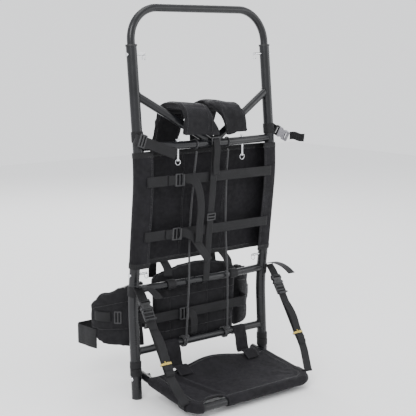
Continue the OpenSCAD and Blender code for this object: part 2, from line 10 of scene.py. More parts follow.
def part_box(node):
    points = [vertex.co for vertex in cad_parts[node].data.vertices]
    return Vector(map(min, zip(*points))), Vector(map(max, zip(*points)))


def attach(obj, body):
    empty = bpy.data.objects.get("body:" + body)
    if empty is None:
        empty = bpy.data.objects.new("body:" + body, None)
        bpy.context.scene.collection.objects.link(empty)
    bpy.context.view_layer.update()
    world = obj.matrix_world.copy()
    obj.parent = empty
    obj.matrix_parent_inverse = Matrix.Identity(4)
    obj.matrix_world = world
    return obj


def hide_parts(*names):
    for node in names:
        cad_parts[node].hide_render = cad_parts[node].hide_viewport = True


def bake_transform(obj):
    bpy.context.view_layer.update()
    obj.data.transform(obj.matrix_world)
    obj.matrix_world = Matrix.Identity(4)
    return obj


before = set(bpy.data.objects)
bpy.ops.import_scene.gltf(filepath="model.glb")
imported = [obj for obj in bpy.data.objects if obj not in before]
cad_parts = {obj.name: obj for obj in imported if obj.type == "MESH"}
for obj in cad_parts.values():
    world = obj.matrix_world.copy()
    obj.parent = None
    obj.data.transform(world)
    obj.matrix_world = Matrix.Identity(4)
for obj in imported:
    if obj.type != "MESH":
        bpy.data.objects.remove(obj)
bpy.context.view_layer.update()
print("frame loaded:", len(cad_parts), "nodes")

mm = 0.001
sides = {"left": -1, "right": 1}


def at(point):
    return Vector(point) * mm


# Camera, floor and lights
studio = {
    "cameraPlace": (-1.4774, -1.9121, 0.8541),
    "cameraTurn": (80.54, 0, -38),
    "lens": 84.76,
    "floorSize": 9,
    "floorTone": (0.9, 0.9, 0.9, 1),
    "skyTone": (0.93, 0.94, 0.96, 1),
    "skyPower": 1.5,
    # place, aim, size, watts
    "key": ((-2.3, -1.7, 2.4), (0, 0, 0.45), 1.5, 62),
    "fill": ((2.6, -2.2, 1.3), (0, 0, 0.4), 2.0, 26),
    "back": ((1.2, 2.6, 2.2), (0, 0, 0.5), 1.6, 45),
    "top": ((-0.2, -0.4, 3.2), (0, 0, 0), 1.8, 30),
}


def makeStudio():
    scene = bpy.context.scene
    data = bpy.data.cameras.new("camera")
    data.lens = studio["lens"]
    data.sensor_width = 36
    data.clip_start = 0.05
    camera = bpy.data.objects.new("camera", data)
    camera.location = studio["cameraPlace"]
    camera.rotation_euler = [math.radians(a) for a in studio["cameraTurn"]]
    scene.collection.objects.link(camera)
    scene.camera = camera

    half = studio["floorSize"] / 2
    mesh = bpy.data.meshes.new("floor")
    mesh.from_pydata([(-half, -half, 0), (half, -half, 0), (half, half, 0), (-half, half, 0)], [],
                     [(0, 1, 2, 3)])
    floor = bpy.data.objects.new("floor", mesh)
    scene.collection.objects.link(floor)
    paper = bpy.data.materials.new("studioPaper")
    paper.use_nodes = True
    shader = paper.node_tree.nodes["Principled BSDF"]
    shader.inputs["Base Color"].default_value = studio["floorTone"]
    shader.inputs["Roughness"].default_value = 0.85
    mesh.materials.append(paper)

    world = bpy.data.worlds.new("studioSky")
    world.use_nodes = True
    sky = world.node_tree.nodes["Background"]
    sky.inputs["Color"].default_value = studio["skyTone"]
    sky.inputs["Strength"].default_value = studio["skyPower"]
    scene.world = world

    for name in ("key", "fill", "back", "top"):
        place, aim, size, watts = studio[name]
        lamp = bpy.data.lights.new(name + "Light", "AREA")
        lamp.size = size
        lamp.energy = watts
        lampObject = bpy.data.objects.new(name + "Light", lamp)
        lampObject.location = place
        lampObject.rotation_euler = (Vector(aim) - Vector(place)).to_track_quat("-Z", "Y").to_euler()
        scene.collection.objects.link(lampObject)


makeStudio()
print("studio ready")


# Materials
def addNode(tree, kind, **settings):
    node = tree.nodes.new(kind)
    for key, value in settings.items():
        setattr(node, key, value)
    return node


def startMaterial(name, colour, roughness, **sockets):
    material = bpy.data.materials.new(name)
    material.use_nodes = True
    shader = material.node_tree.nodes["Principled BSDF"]
    shader.inputs["Base Color"].default_value = (*colour, 1)
    shader.inputs["Roughness"].default_value = roughness
    for key, value in sockets.items():
        shader.inputs[key.replace("_", " ")].default_value = value
    return material, material.node_tree, shader


def objectNoise(tree, scale, detail=3.0, seedShift=0.0):
    where = addNode(tree, "ShaderNodeTexCoord")
    shift = addNode(tree, "ShaderNodeMapping")
    shift.inputs["Location"].default_value = (seedShift, seedShift, 0)
    noise = addNode(tree, "ShaderNodeTexNoise")
    noise.inputs["Scale"].default_value = scale
    noise.inputs["Detail"].default_value = detail
    tree.links.new(where.outputs["Object"], shift.inputs["Vector"])
    tree.links.new(shift.outputs["Vector"], noise.inputs["Vector"])
    return noise.outputs["Fac"]


def remap(tree, value, low, high, fromLow=0.3, fromHigh=0.7):
    ramp = addNode(tree, "ShaderNodeMapRange")
    ramp.inputs["From Min"].default_value = fromLow
    ramp.inputs["From Max"].default_value = fromHigh
    ramp.inputs["To Min"].default_value = low
    ramp.inputs["To Max"].default_value = high
    tree.links.new(value, ramp.inputs["Value"])
    return ramp.outputs["Result"]


def vary(tree, shader, darkTone, paleTone, value):
    ramp = addNode(tree, "ShaderNodeValToRGB")
    ramp.color_ramp.elements[0].position = 0.3
    ramp.color_ramp.elements[0].color = (*darkTone, 1)
    ramp.color_ramp.elements[1].position = 0.7
    ramp.color_ramp.elements[1].color = (*paleTone, 1)
    tree.links.new(value, ramp.inputs["Fac"])
    tree.links.new(ramp.outputs["Color"], shader.inputs["Base Color"])


def addBump(tree, shader, height, strength, distance):
    bump = addNode(tree, "ShaderNodeBump")
    bump.inputs["Strength"].default_value = strength
    bump.inputs["Distance"].default_value = distance
    tree.links.new(height, bump.inputs["Height"])
    tree.links.new(bump.outputs["Normal"], shader.inputs["Normal"])


def compute(tree, operation, first, second=None):
    node = addNode(tree, "ShaderNodeMath", operation=operation)
    for socket, value in zip(node.inputs, (first, second)):
        if value is None:
            continue
        if isinstance(value, (int, float)):
            socket.default_value = value
        else:
            tree.links.new(value, socket)
    return node.outputs["Value"]


def powderCoat():
    material, tree, shader = startMaterial("powderCoat", (0.003, 0.003, 0.0038), 0.26,
                                           Specular_IOR_Level=0.3, Coat_Weight=0.12,
                                           Coat_Roughness=0.16, IOR=1.5)
    tree.links.new(remap(tree, objectNoise(tree, 60), 0.24, 0.38), shader.inputs["Roughness"])
    vary(tree, shader, (0.004, 0.0042, 0.0052), (0.009, 0.0093, 0.011), objectNoise(tree, 18, 2.0, 3.0))
    addBump(tree, shader, objectNoise(tree, 900, 4.0), 0.14, 0.0004)
    return material


def brightPlate():
    material, tree, shader = startMaterial("brightPlate", (0.78, 0.79, 0.81), 0.14, Metallic=1.0)
    tree.links.new(remap(tree, objectNoise(tree, 400), 0.08, 0.26), shader.inputs["Roughness"])
    vary(tree, shader, (0.6, 0.61, 0.64), (0.88, 0.89, 0.9), objectNoise(tree, 160, 3.0, 1.0))
    addBump(tree, shader, objectNoise(tree, 1600), 0.12, 0.0002)
    return material


def mouldedPlastic(name, darkTone, paleTone, roughness):
    material, tree, shader = startMaterial(name, darkTone, roughness, IOR=1.49)
    tree.links.new(remap(tree, objectNoise(tree, 220), roughness - 0.07, roughness + 0.09),
                   shader.inputs["Roughness"])
    vary(tree, shader, darkTone, paleTone, objectNoise(tree, 45, 2.0, 2.0))
    addBump(tree, shader, objectNoise(tree, 2600, 2.0), 0.25, 0.0003)
    return material


# A plain weave on the object's own coordinates: two crossed sets of threads
def wovenCloth(name, darkTone, paleTone, threads, sheen):
    material, tree, shader = startMaterial(name, darkTone, 0.78, Sheen_Weight=sheen, Sheen_Roughness=0.42,
                                           Sheen_Tint=(0.62, 0.6, 0.68, 1), Specular_IOR_Level=0.2)
    where = addNode(tree, "ShaderNodeTexCoord")
    split = addNode(tree, "ShaderNodeSeparateXYZ")
    tree.links.new(where.outputs["Object"], split.inputs["Vector"])
    flatAxis = compute(tree, "ADD", split.outputs["X"], compute(tree, "MULTIPLY", split.outputs["Y"], 0.83))
    warp = compute(tree, "SINE", compute(tree, "MULTIPLY", flatAxis, threads))
    weft = compute(tree, "SINE", compute(tree, "MULTIPLY", compute(
        tree, "ADD", split.outputs["Z"], compute(tree, "MULTIPLY", split.outputs["Y"], 0.41)), threads))
    weave = compute(tree, "MULTIPLY", warp, weft)
    fuzz = objectNoise(tree, 700, 4.0)
    height = compute(tree, "ADD", compute(tree, "MULTIPLY", weave, 0.5), fuzz)
    addBump(tree, shader, height, 0.45, 0.0005)
    worn = compute(tree, "ADD", compute(tree, "MULTIPLY", weave, 0.06), objectNoise(tree, 26, 5.0, 4.0))
    vary(tree, shader, darkTone, paleTone, worn)
    tree.links.new(remap(tree, objectNoise(tree, 90, 3.0, 6.0), 0.66, 0.88), shader.inputs["Roughness"])
    return material


# Webbing reads the strip's own map, in metres: U across and V along
def wovenWebbing(name, darkTone, paleTone, pitch=0.0021):
    material, tree, shader = startMaterial(name, darkTone, 0.62, Sheen_Weight=0.05, Sheen_Roughness=0.35,
                                           Sheen_Tint=(0.6, 0.6, 0.66, 1), Specular_IOR_Level=0.26)
    uv = addNode(tree, "ShaderNodeUVMap", uv_map="strip")
    split = addNode(tree, "ShaderNodeSeparateXYZ")
    tree.links.new(uv.outputs["UV"], split.inputs["Vector"])
    chevron = compute(tree, "PINGPONG", split.outputs["X"], 2 * pitch)
    slanted = compute(tree, "ADD", split.outputs["Y"], chevron)
    twill = compute(tree, "SINE", compute(tree, "MULTIPLY", slanted, math.tau / pitch))
    rows = compute(tree, "SINE", compute(tree, "MULTIPLY", split.outputs["X"], math.tau / (0.5 * pitch)))
    height = compute(tree, "ADD", compute(tree, "MULTIPLY", twill, 0.5),
                     compute(tree, "MULTIPLY", rows, 0.25))
    addBump(tree, shader, height, 0.5, 0.0004)
    tone = compute(tree, "ADD", compute(tree, "MULTIPLY", twill, 0.08), objectNoise(tree, 40, 4.0))
    vary(tree, shader, darkTone, paleTone, tone)
    return material


def braidedCord(name, darkTone, paleTone, turns=2.0, pitch=0.004):
    material, tree, shader = startMaterial(name, darkTone, 0.5, Sheen_Weight=0.2, Sheen_Roughness=0.4)
    uv = addNode(tree, "ShaderNodeUVMap", uv_map="strip")
    split = addNode(tree, "ShaderNodeSeparateXYZ")
    tree.links.new(uv.outputs["UV"], split.inputs["Vector"])
    along = compute(tree, "MULTIPLY", split.outputs["Y"], math.tau / pitch)
    around = compute(tree, "MULTIPLY", split.outputs["X"], math.tau * turns)
    oneWay = compute(tree, "SINE", compute(tree, "ADD", along, around))
    otherWay = compute(tree, "SINE", compute(tree, "SUBTRACT", along, around))
    strands = compute(tree, "MAXIMUM", oneWay, otherWay)
    addBump(tree, shader, strands, 0.6, 0.0006)
    vary(tree, shader, darkTone, paleTone,
         compute(tree, "ADD", compute(tree, "MULTIPLY", strands, 0.2), 0.4))
    return material


finish = {
    "tube": powderCoat(),
    "hardware": brightPlate(),
    "buckle": mouldedPlastic("blackBuckle", (0.006, 0.006, 0.007), (0.013, 0.013, 0.015), 0.34),
    "greyBuckle": mouldedPlastic("greyBuckle", (0.17, 0.165, 0.185), (0.24, 0.235, 0.255), 0.42),
    "plug": mouldedPlastic("endPlug", (0.007, 0.007, 0.0072), (0.012, 0.012, 0.0125), 0.5),
    "packCloth": wovenCloth("packCloth", (0.0036, 0.0033, 0.0043), (0.0082, 0.0076, 0.0095), 5200, 0.05),
    "padCloth": wovenCloth("padCloth", (0.0038, 0.0036, 0.0044), (0.0085, 0.0082, 0.0096), 4200, 0.06),
    "webbing": wovenWebbing("webbing", (0.003, 0.003, 0.0035), (0.007, 0.0068, 0.008)),
    "binding": wovenWebbing("bindingTape", (0.0028, 0.0028, 0.0032), (0.0064, 0.0062, 0.0074), 0.0014),
    "cord": braidedCord("braidedCord", (0.008, 0.008, 0.0095), (0.024, 0.024, 0.027)),
    "tie": braidedCord("elasticTie", (0.42, 0.29, 0.045), (0.8, 0.62, 0.14), 1.0, 0.003),
    "thread": braidedCord("thread", (0.012, 0.012, 0.014), (0.03, 0.03, 0.033), 1.0, 0.001),
}
print("materials ready:", len(finish))


# Mesh helpers: lengths in millimetres, in the frame's own place
def addPiece(name, points, faces, material, smooth=True):
    mesh = bpy.data.meshes.new(name)
    mesh.from_pydata([tuple(at(p)) for p in points], [], faces)
    mesh.materials.append(material)
    mesh.polygons.foreach_set("use_smooth", [smooth] * len(mesh.polygons))
    piece = bpy.data.objects.new(name, mesh)
    bpy.context.scene.collection.objects.link(piece)
    return piece


def pointOut(piece):
    work = bmesh.new()
    work.from_mesh(piece.data)
    bmesh.ops.remove_doubles(work, verts=work.verts, dist=1e-6)
    bmesh.ops.recalc_face_normals(work, faces=work.faces)
    work.to_mesh(piece.data)
    work.free()
    return piece


def applied(piece):
    mesh = bpy.data.meshes.new_from_object(piece.evaluated_get(bpy.context.evaluated_depsgraph_get()))
    piece.modifiers.clear()
    piece.data = mesh
    return piece


def softened(piece, levels=1):
    subdivide = piece.modifiers.new("soften", "SUBSURF")
    subdivide.levels = levels
    subdivide.render_levels = levels
    return piece


def settle(piece, body, slot, *nodes):
    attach(piece, body)
    if nodes:
        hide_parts(*nodes)
    return piece


def spot(x, y, z, tiltX=0, tiltY=0, turnZ=0):
    return Matrix.Translation((x, y,
                               z)) @ Euler([math.radians(a) for a in (tiltX, tiltY,
                                                                      turnZ)]).to_matrix().to_4x4()


def smoothRoute(points, step):
    # Catmull-Rom through the points, then even spacing; a point may carry more numbers than its place
    points = [list(p) for p in points]
    padded = [[2 * a - b for a, b in zip(points[0], points[1])], *points,
              [2 * a - b for a, b in zip(points[-1], points[-2])]]
    dense = []
    for p0, p1, p2, p3 in zip(padded, padded[1:], padded[2:], padded[3:]):
        count = max(2, int((Vector(p2[:3]) - Vector(p1[:3])).length / (0.4 * step)) + 1)
        for k in range(count):
            t = k / count
            dense.append([0.5 * (2 * b + (c - a) * t + (2 * a - 5 * b + 4 * c - d) * t * t
                                 + (3 * b - a - 3 * c + d) * t ** 3)
                          for a, b, c, d in zip(p0, p1, p2, p3)])
    dense.append(points[-1])
    lengths = [0.0]
    for a, b in zip(dense, dense[1:]):
        lengths.append(lengths[-1] + (Vector(b[:3]) - Vector(a[:3])).length)
    count = max(2, round(lengths[-1] / step))
    spaced, i = [], 0
    for k in range(count + 1):
        target = lengths[-1] * k / count
        while i < len(lengths) - 2 and lengths[i + 1] < target:
            i += 1
        share = (target - lengths[i]) / max(1e-9, lengths[i + 1] - lengths[i])
        spaced.append([a + (b - a) * share for a, b in zip(dense[i], dense[i + 1])])
    return spaced


def sweep(name, line, crossing, outline, material, closed=False):
    # Carries a closed outline of (across, out) points along a line; crossing gives the across direction
    last = len(line) - 1
    points, faces, maps = [], [], []
    around = len(outline)
    travelled = 0.0
    for i, p in enumerate(line):
        here = Vector(p[:3])
        ahead = Vector(line[(i + 1) % len(line) if closed else min(i + 1, last)][:3])
        behind = Vector(line[(i - 1) if closed else max(i - 1, 0)][:3])
        along = (ahead - behind).normalized()
        across = Vector(crossing(i, p))
        across = (across - along * across.dot(along)).normalized()
        out = along.cross(across)
        if i:
            travelled += (here - Vector(line[i - 1][:3])).length
        for x, y in outline:
            points.append(here + across * x + out * y)
            maps.append((x * mm, travelled * mm))
    rings = len(line)
    for i in range(rings if closed else rings - 1):
        for k in range(around):
            nextRing = (i + 1) % rings
            faces.append((i * around + k, i * around + (k + 1) % around,
                          nextRing * around + (k + 1) % around, nextRing * around + k))
    if not closed:
        faces.append(tuple(reversed(range(around))))
        faces.append(tuple(last * around + k for k in range(around)))
    piece = addPiece(name, points, faces, material)
    layer = piece.data.uv_layers.new(name="strip")
    for loop in piece.data.loops:
        layer.data[loop.index].uv = maps[loop.vertex_index]
    work = bmesh.new()
    work.from_mesh(piece.data)
    bmesh.ops.recalc_face_normals(work, faces=work.faces)
    work.to_mesh(piece.data)
    work.free()
    return piece


def flatOutline(width, thick, count=16):
    shape = []
    for k in range(count):
        a = math.tau * (k + 0.5) / count
        c, s = math.cos(a), math.sin(a)
        shape.append((width / 2 * math.copysign(abs(c) ** 0.35, c),
                      thick / 2 * math.copysign(abs(s) ** 0.5, s)))
    return shape


def strip(name, route, side, width, thick, material, step=5, ripple=0.0, seed=1):
    line = smoothRoute(route, step)
    if ripple:
        chance = random.Random(seed)
        phases = [chance.uniform(0, math.tau) for _ in range(3)]
        travelled = 0.0
        crossing = Vector(side if not callable(side) else side(0, line[0])).normalized()
        for i in range(1, len(line) - 1):
            travelled += step
            along = (Vector(line[i + 1][:3]) - Vector(line[i - 1][:3])).normalized()
            out = along.cross(crossing).normalized()
            fade = min(1.0, i / 4, (len(line) - 1 - i) / 4)
            wave = sum(math.sin(travelled / reach + phase) for reach,
                       phase in zip((11, 23, 41), phases)) / 3
            line[i][:3] = Vector(line[i][:3]) + out * wave * ripple * fade
    crossing = side if callable(side) else (lambda i, p: side)
    return sweep(name, line, crossing, flatOutline(width, thick), material)


def rope(name, route, radius, material, step=4, around=10, closed=False):
    line = smoothRoute(route, step)
    if closed:
        line = line[:-1]
    outline = [(radius * math.cos(math.tau * k / around),
                radius * math.sin(math.tau * k / around)) for k in range(around)]
    state = {"across": None}

    def crossing(i, p):
        ahead = Vector(line[min(i + 1, len(line) - 1)][:3]) - Vector(line[max(i - 1, 0)][:3])
        if state["across"] is None:
            state["across"] = ahead.orthogonal().normalized()
        across = state["across"] - ahead.normalized() * state["across"].dot(ahead.normalized())
        state["across"] = across.normalized()
        return state["across"]

    piece = sweep(name, line, crossing, outline, material, closed)
    layer = piece.data.uv_layers["strip"]
    rings = {loop.index: loop.vertex_index % around / around for loop in piece.data.loops}
    for index, share in rings.items():
        layer.data[index].uv[0] = share
    return piece


def roundRect(width, height, radius, x=0, y=0, corner=5):
    shape = []
    for sx, sy, start in ((1, 1, 0), (-1, 1, 90), (-1, -1, 180), (1, -1, 270)):
        for k in range(corner + 1):
            a = math.radians(start + 90 * k / corner)
            shape.append((x + sx * (width / 2 - radius) + radius * math.cos(a),
                          y + sy * (height / 2 - radius) + radius * math.sin(a)))
    return shape


def plate(name, outlines, thick, bevel, material, place):
    # A moulded plate: the first outline is its edge and the others are its openings
    curve = bpy.data.curves.new(name, "CURVE")
    curve.dimensions = "2D"
    curve.fill_mode = "BOTH"
    curve.extrude = thick / 2 - bevel
    curve.bevel_depth = bevel
    curve.bevel_resolution = 2
    curve.offset = -bevel
    for outline in outlines:
        spline = curve.splines.new("POLY")
        spline.points.add(len(outline) - 1)
        for point, (x, y) in zip(spline.points, outline):
            point.co = (x, y, 0, 1)
        spline.use_cyclic_u = True
    carrier = bpy.data.objects.new(name + "Outline", curve)
    bpy.context.scene.collection.objects.link(carrier)
    mesh = bpy.data.meshes.new_from_object(carrier.evaluated_get(bpy.context.evaluated_depsgraph_get()))
    bpy.data.objects.remove(carrier)
    mesh.transform(Matrix.Scale(mm, 4) @ place)
    mesh.materials.clear()
    mesh.materials.append(material)
    mesh.polygons.foreach_set("use_smooth", [False] * len(mesh.polygons))
    piece = bpy.data.objects.new(name, mesh)
    bpy.context.scene.collection.objects.link(piece)
    return pointOut(piece)


def joined(name, pieces):
    work = bmesh.new()
    for piece in pieces:
        work.from_mesh(piece.data)
    mesh = bpy.data.meshes.new(name)
    work.to_mesh(mesh)
    work.free()
    for material in pieces[0].data.materials:
        mesh.materials.append(material)
    for piece in pieces:
        bpy.data.objects.remove(piece)
    whole = bpy.data.objects.new(name, mesh)
    bpy.context.scene.collection.objects.link(whole)
    return whole


# Geometry Nodes: what repeats along a line
def startTree(name, sizes):
    tree = bpy.data.node_groups.new(name, "GeometryNodeTree")
    tree.interface.new_socket("Geometry", in_out="INPUT", socket_type="NodeSocketGeometry")
    for key, value in sizes.items():
        socket = tree.interface.new_socket(key, in_out="INPUT", socket_type="NodeSocketFloat")
        socket.default_value = value
    tree.interface.new_socket("Material", in_out="INPUT", socket_type="NodeSocketMaterial")
    tree.interface.new_socket("Geometry", in_out="OUTPUT", socket_type="NodeSocketGeometry")
    return tree, addNode(tree, "NodeGroupInput"), addNode(tree, "NodeGroupOutput")


def endTree(tree, source, result, output):
    whole = addNode(tree, "GeometryNodeRealizeInstances")
    smooth = addNode(tree, "GeometryNodeSetShadeSmooth")
    painted = addNode(tree, "GeometryNodeSetMaterial")
    tree.links.new(result, whole.inputs["Geometry"])
    tree.links.new(whole.outputs["Geometry"], smooth.inputs["Geometry"])
    tree.links.new(smooth.outputs["Geometry"], painted.inputs["Geometry"])
    tree.links.new(source.outputs["Material"], painted.inputs["Material"])
    tree.links.new(painted.outputs["Geometry"], output.inputs["Geometry"])
    return tree


def alongLine(tree, source, shape, stretch=(1, 1, 1), lead="Z", jitter=0.0):
    line = addNode(tree, "GeometryNodeMeshToCurve")
    spaced = addNode(tree, "GeometryNodeResampleCurve", mode="LENGTH")
    tangent = addNode(tree, "GeometryNodeInputTangent")
    facing = addNode(tree, "FunctionNodeAlignRotationToVector", axis=lead)
    copies = addNode(tree, "GeometryNodeInstanceOnPoints")
    copies.inputs["Scale"].default_value = stretch
    if jitter:
        chance = addNode(tree, "FunctionNodeRandomValue", data_type="FLOAT_VECTOR")
        chance.inputs["Min"].default_value = [s * (1 - jitter) for s in stretch]
        chance.inputs["Max"].default_value = [s * (1 + jitter) for s in stretch]
        chance.inputs["Seed"].default_value = 7
        tree.links.new(chance.outputs["Value"], copies.inputs["Scale"])
    tree.links.new(source.outputs["Geometry"], line.inputs["Mesh"])
    tree.links.new(line.outputs["Curve"], spaced.inputs["Curve"])
    tree.links.new(source.outputs["Spacing"], spaced.inputs["Length"])
    tree.links.new(tangent.outputs["Tangent"], facing.inputs["Vector"])
    tree.links.new(spaced.outputs["Curve"], copies.inputs["Points"])
    tree.links.new(facing.outputs["Rotation"], copies.inputs["Rotation"])
    tree.links.new(shape, copies.inputs["Instance"])
    return copies.outputs["Instances"]


def makeStitchTree():
    tree, source, output = startTree("stitchRow", {"Spacing": 0.0042, "Stitch": 0.003, "Thread": 0.00042})
    stitch = addNode(tree, "GeometryNodeMeshCylinder")
    stitch.inputs["Vertices"].default_value = 5
    tree.links.new(source.outputs["Thread"], stitch.inputs["Radius"])
    tree.links.new(source.outputs["Stitch"], stitch.inputs["Depth"])
    return endTree(tree, source, alongLine(tree, source, stitch.outputs["Mesh"], jitter=0.08), output)


def makeBeadTree():
    tree, source, output = startTree("weldBead", {"Spacing": 0.0016, "Bead": 0.0019})
    bead = addNode(tree, "GeometryNodeMeshIcoSphere")
    bead.inputs["Subdivisions"].default_value = 2
    tree.links.new(source.outputs["Bead"], bead.inputs["Radius"])
    return endTree(tree, source, alongLine(tree, source, bead.outputs["Mesh"], (1, 1, 0.75), jitter=0.1),
                   output)


def makePipingTree():
    tree, source, output = startTree("ribbedPiping", {"Spacing": 0.0032, "Rib": 0.0027, "Length": 0.0024})
    rib = addNode(tree, "GeometryNodeMeshCylinder")
    rib.inputs["Vertices"].default_value = 10
    tree.links.new(source.outputs["Rib"], rib.inputs["Radius"])
    tree.links.new(source.outputs["Length"], rib.inputs["Depth"])
    return endTree(tree, source, alongLine(tree, source, rib.outputs["Mesh"], jitter=0.05), output)


def makeSplitRingTree():
    # A split ring is nearly two turns of round wire, laid side by side
    tree, source, output = startTree("splitRing", {"Ring": 0.0068, "Wire": 0.00075, "Turns": 1.9})
    turns = addNode(tree, "GeometryNodeCurveSpiral")
    turns.inputs["Resolution"].default_value = 40
    turns.inputs["Height"].default_value = 0.0013
    wire = addNode(tree, "GeometryNodeCurvePrimitiveCircle")
    wire.inputs["Resolution"].default_value = 8
    skin = addNode(tree, "GeometryNodeCurveToMesh")
    skin.inputs["Fill Caps"].default_value = True
    tree.links.new(source.outputs["Turns"], turns.inputs["Rotations"])
    tree.links.new(source.outputs["Ring"], turns.inputs["Start Radius"])
    tree.links.new(source.outputs["Ring"], turns.inputs["End Radius"])
    tree.links.new(source.outputs["Wire"], wire.inputs["Radius"])
    tree.links.new(turns.outputs["Curve"], skin.inputs["Curve"])
    tree.links.new(wire.outputs["Curve"], skin.inputs["Profile Curve"])
    return endTree(tree, source, skin.outputs["Mesh"], output)


trees = {"stitches": makeStitchTree(), "beads": makeBeadTree(), "piping": makePipingTree(),
         "splitRing": makeSplitRingTree()}


def grow(name, kind, routes, material, place=None, **sizes):
    # Runs a tree on lines given in millimetres, and keeps its result as a plain mesh
    points, edges = [], []
    for route in routes:
        first = len(points)
        points += [tuple(at(p[:3])) for p in route]
        edges += [(first + k, first + k + 1) for k in range(len(route) - 1)]
    mesh = bpy.data.meshes.new(name + "Line")
    mesh.from_pydata(points, edges, [])
    carrier = bpy.data.objects.new(name + "Line", mesh)
    bpy.context.scene.collection.objects.link(carrier)
    modifier = carrier.modifiers.new("grow", "NODES")
    modifier.node_group = trees[kind]
    values = {**sizes, "Material": material}
    for item in trees[kind].interface.items_tree:
        if item.in_out == "INPUT" and item.name in values:
            modifier[item.identifier] = values[item.name]
    grown = bpy.data.meshes.new_from_object(carrier.evaluated_get(bpy.context.evaluated_depsgraph_get()))
    carrier.modifiers.clear()
    bpy.data.objects.remove(carrier)
    if place is not None:
        grown.transform(place)
    piece = bpy.data.objects.new(name, grown)
    bpy.context.scene.collection.objects.link(piece)
    return piece


# The uprights' side profile: three straight stretches joined by two arcs
upright = {"half": 204, "radius": 12.7, "footZ": 3, "low": 189, "middle": 225, "bend": 500,
           "leanLow": 3.3, "leanMiddle": 6.5, "leanTop": 5.6}
barRadius = 9.5


def uprightDepth(z):
    low, mid, top = (math.radians(upright[k]) for k in ("leanLow", "leanMiddle", "leanTop"))
    bend = upright["bend"]
    y1, z1 = upright["low"] * math.sin(low), upright["footZ"] + upright["low"] * math.cos(low)
    cy1, cz1 = y1 - bend * math.cos(low), z1 + bend * math.sin(low)
    y2, z2 = cy1 + bend * math.cos(mid), cz1 + bend * math.sin(mid)
    y3, z3 = y2 - upright["middle"] * math.sin(mid), z2 + upright["middle"] * math.cos(mid)
    cy2, cz2 = y3 + bend * math.cos(mid), z3 + bend * math.sin(mid)
    y4, z4 = cy2 - bend * math.cos(top), cz2 + bend * math.sin(top)
    if z < z1:
        return (z - upright["footZ"]) * math.tan(low)
    if z < z2:
        return cy1 + math.sqrt(bend ** 2 - (z - cz1) ** 2)
    if z < z3:
        return y2 - (z - z2) * math.tan(mid)
    if z < z4:
        return cy2 - math.sqrt(bend ** 2 - (z - cz2) ** 2)
    return y4 + (z - z4) * math.tan(top)


def leanAt(z):
    return math.degrees(math.atan((uprightDepth(z + 1) - uprightDepth(z - 1)) / 2))


def bowDepth(x, z, bow):
    radius = (upright["half"] ** 2 + bow ** 2) / (2 * bow)
    return uprightDepth(z) - bow + radius - math.sqrt(radius ** 2 - x * x)


bars = {"yoke": (618, 20), "lumbar": (271, 12), "lowerZ": 116, "braceZ": 741}
yokeZ, yokeBow = bars["yoke"]
lumbarZ, lumbarBow = bars["lumbar"]
lowerZ = bars["lowerZ"]
print("helpers ready")


# Frame tubes, plugs, pins and bolts keep their own shape
nodeFinish = {
    "tube": ("upright_left", "upright_right", "yoke_bar", "yoke_brace_left", "yoke_brace_right",
             "lumbar_bar",
             "lower_bar", "extension_tube", "shelf_tube"),
    "plug": ("foot_plugs", "extension_bushes", "extension_plugs", "shelf_plugs"),
    "hardware": ("hinge_bolts",
                 *(f"{height}_pin_{side}" for height in ("upper", "lower", "yoke") for side in sides)),
}
for kind, names in nodeFinish.items():
    for name in names:
        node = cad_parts[name]
        node.data.materials.clear()
        node.data.materials.append(finish[kind])


# Weld beads where one tube meets another
weld = {"spacing": 1.7, "bead": 1.9, "steps": 40}


def weldSeam(start, aim, radius, wallPlace, wallAim, wallRadius):
    # Points where the tube's surface, followed from start along aim, meets the wall tube
    aim, wallAim = aim.normalized(), wallAim.normalized()
    first = aim.orthogonal().normalized()
    second = aim.cross(first)
    seam = []
    for k in range(weld["steps"] + 1):
        a = math.tau * k / weld["steps"]
        origin = start + first * radius * math.cos(a) + second * radius * math.sin(a) - wallPlace
        flat = origin - wallAim * origin.dot(wallAim)
        step = aim - wallAim * aim.dot(wallAim)
        b, c = flat.dot(step) / step.dot(step), (flat.dot(flat) - wallRadius ** 2) / step.dot(step)
        root = b * b - c
        if root < 0:
            continue
        seam.append(origin + wallPlace + aim * (-b - math.sqrt(root)))
    return seam


def makeWelds():
    seams = []
    for side in sides.values():
        for z, bow in (bars["yoke"], bars["lumbar"], (lowerZ, 0.01)):
            lean = math.radians(leanAt(z))
            end = Vector((side * upright["half"], uprightDepth(z), z))
            inner = Vector((side * 150, bowDepth(150, z, bow), z))
            seams.append(weldSeam(inner, end - inner, barRadius, end,
                                  Vector((0, math.sin(lean), math.cos(lean))),
                                  upright["radius"]))
        z = bars["braceZ"]
        lean = math.radians(leanAt(z))
        top = Vector((side * upright["half"], uprightDepth(z), z))
        low = Vector((0, bowDepth(0, yokeZ, yokeBow), yokeZ))
        seams.append(weldSeam(low, top - low, barRadius, top, Vector((0, math.sin(lean), math.cos(lean))),
                              upright["radius"]))
        seams.append(weldSeam(top, low - top, barRadius, low, Vector((1, side * 0.02, 0)), barRadius))
    settle(grow("weldBeads", "beads", seams, finish["tube"], Spacing=weld["spacing"] * mm,
                Bead=weld["bead"] * mm),
           "frame", "tube")


makeWelds()


# Split rings through the pins, as wound wire
splitRing = {"turn": {"upper": 0, "lower": 0, "yoke": 90}}


def makeRings():
    for height, turn in splitRing["turn"].items():
        for side in sides:
            node = f"{height}_ring_{side}"
            low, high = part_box(node)
            centre = (low + high) / 2
            place = Matrix.Translation(centre) @ Euler((0, math.radians(90),
                                                        math.radians(turn))).to_matrix().to_4x4()
            ring = grow(f"{height}Ring{side.title()}", "splitRing", [], finish["hardware"],
                        place @ Matrix.Translation((0, 0, -0.00065)))
            settle(ring, node, "hardware", node)


makeRings()
print("welds and rings done")


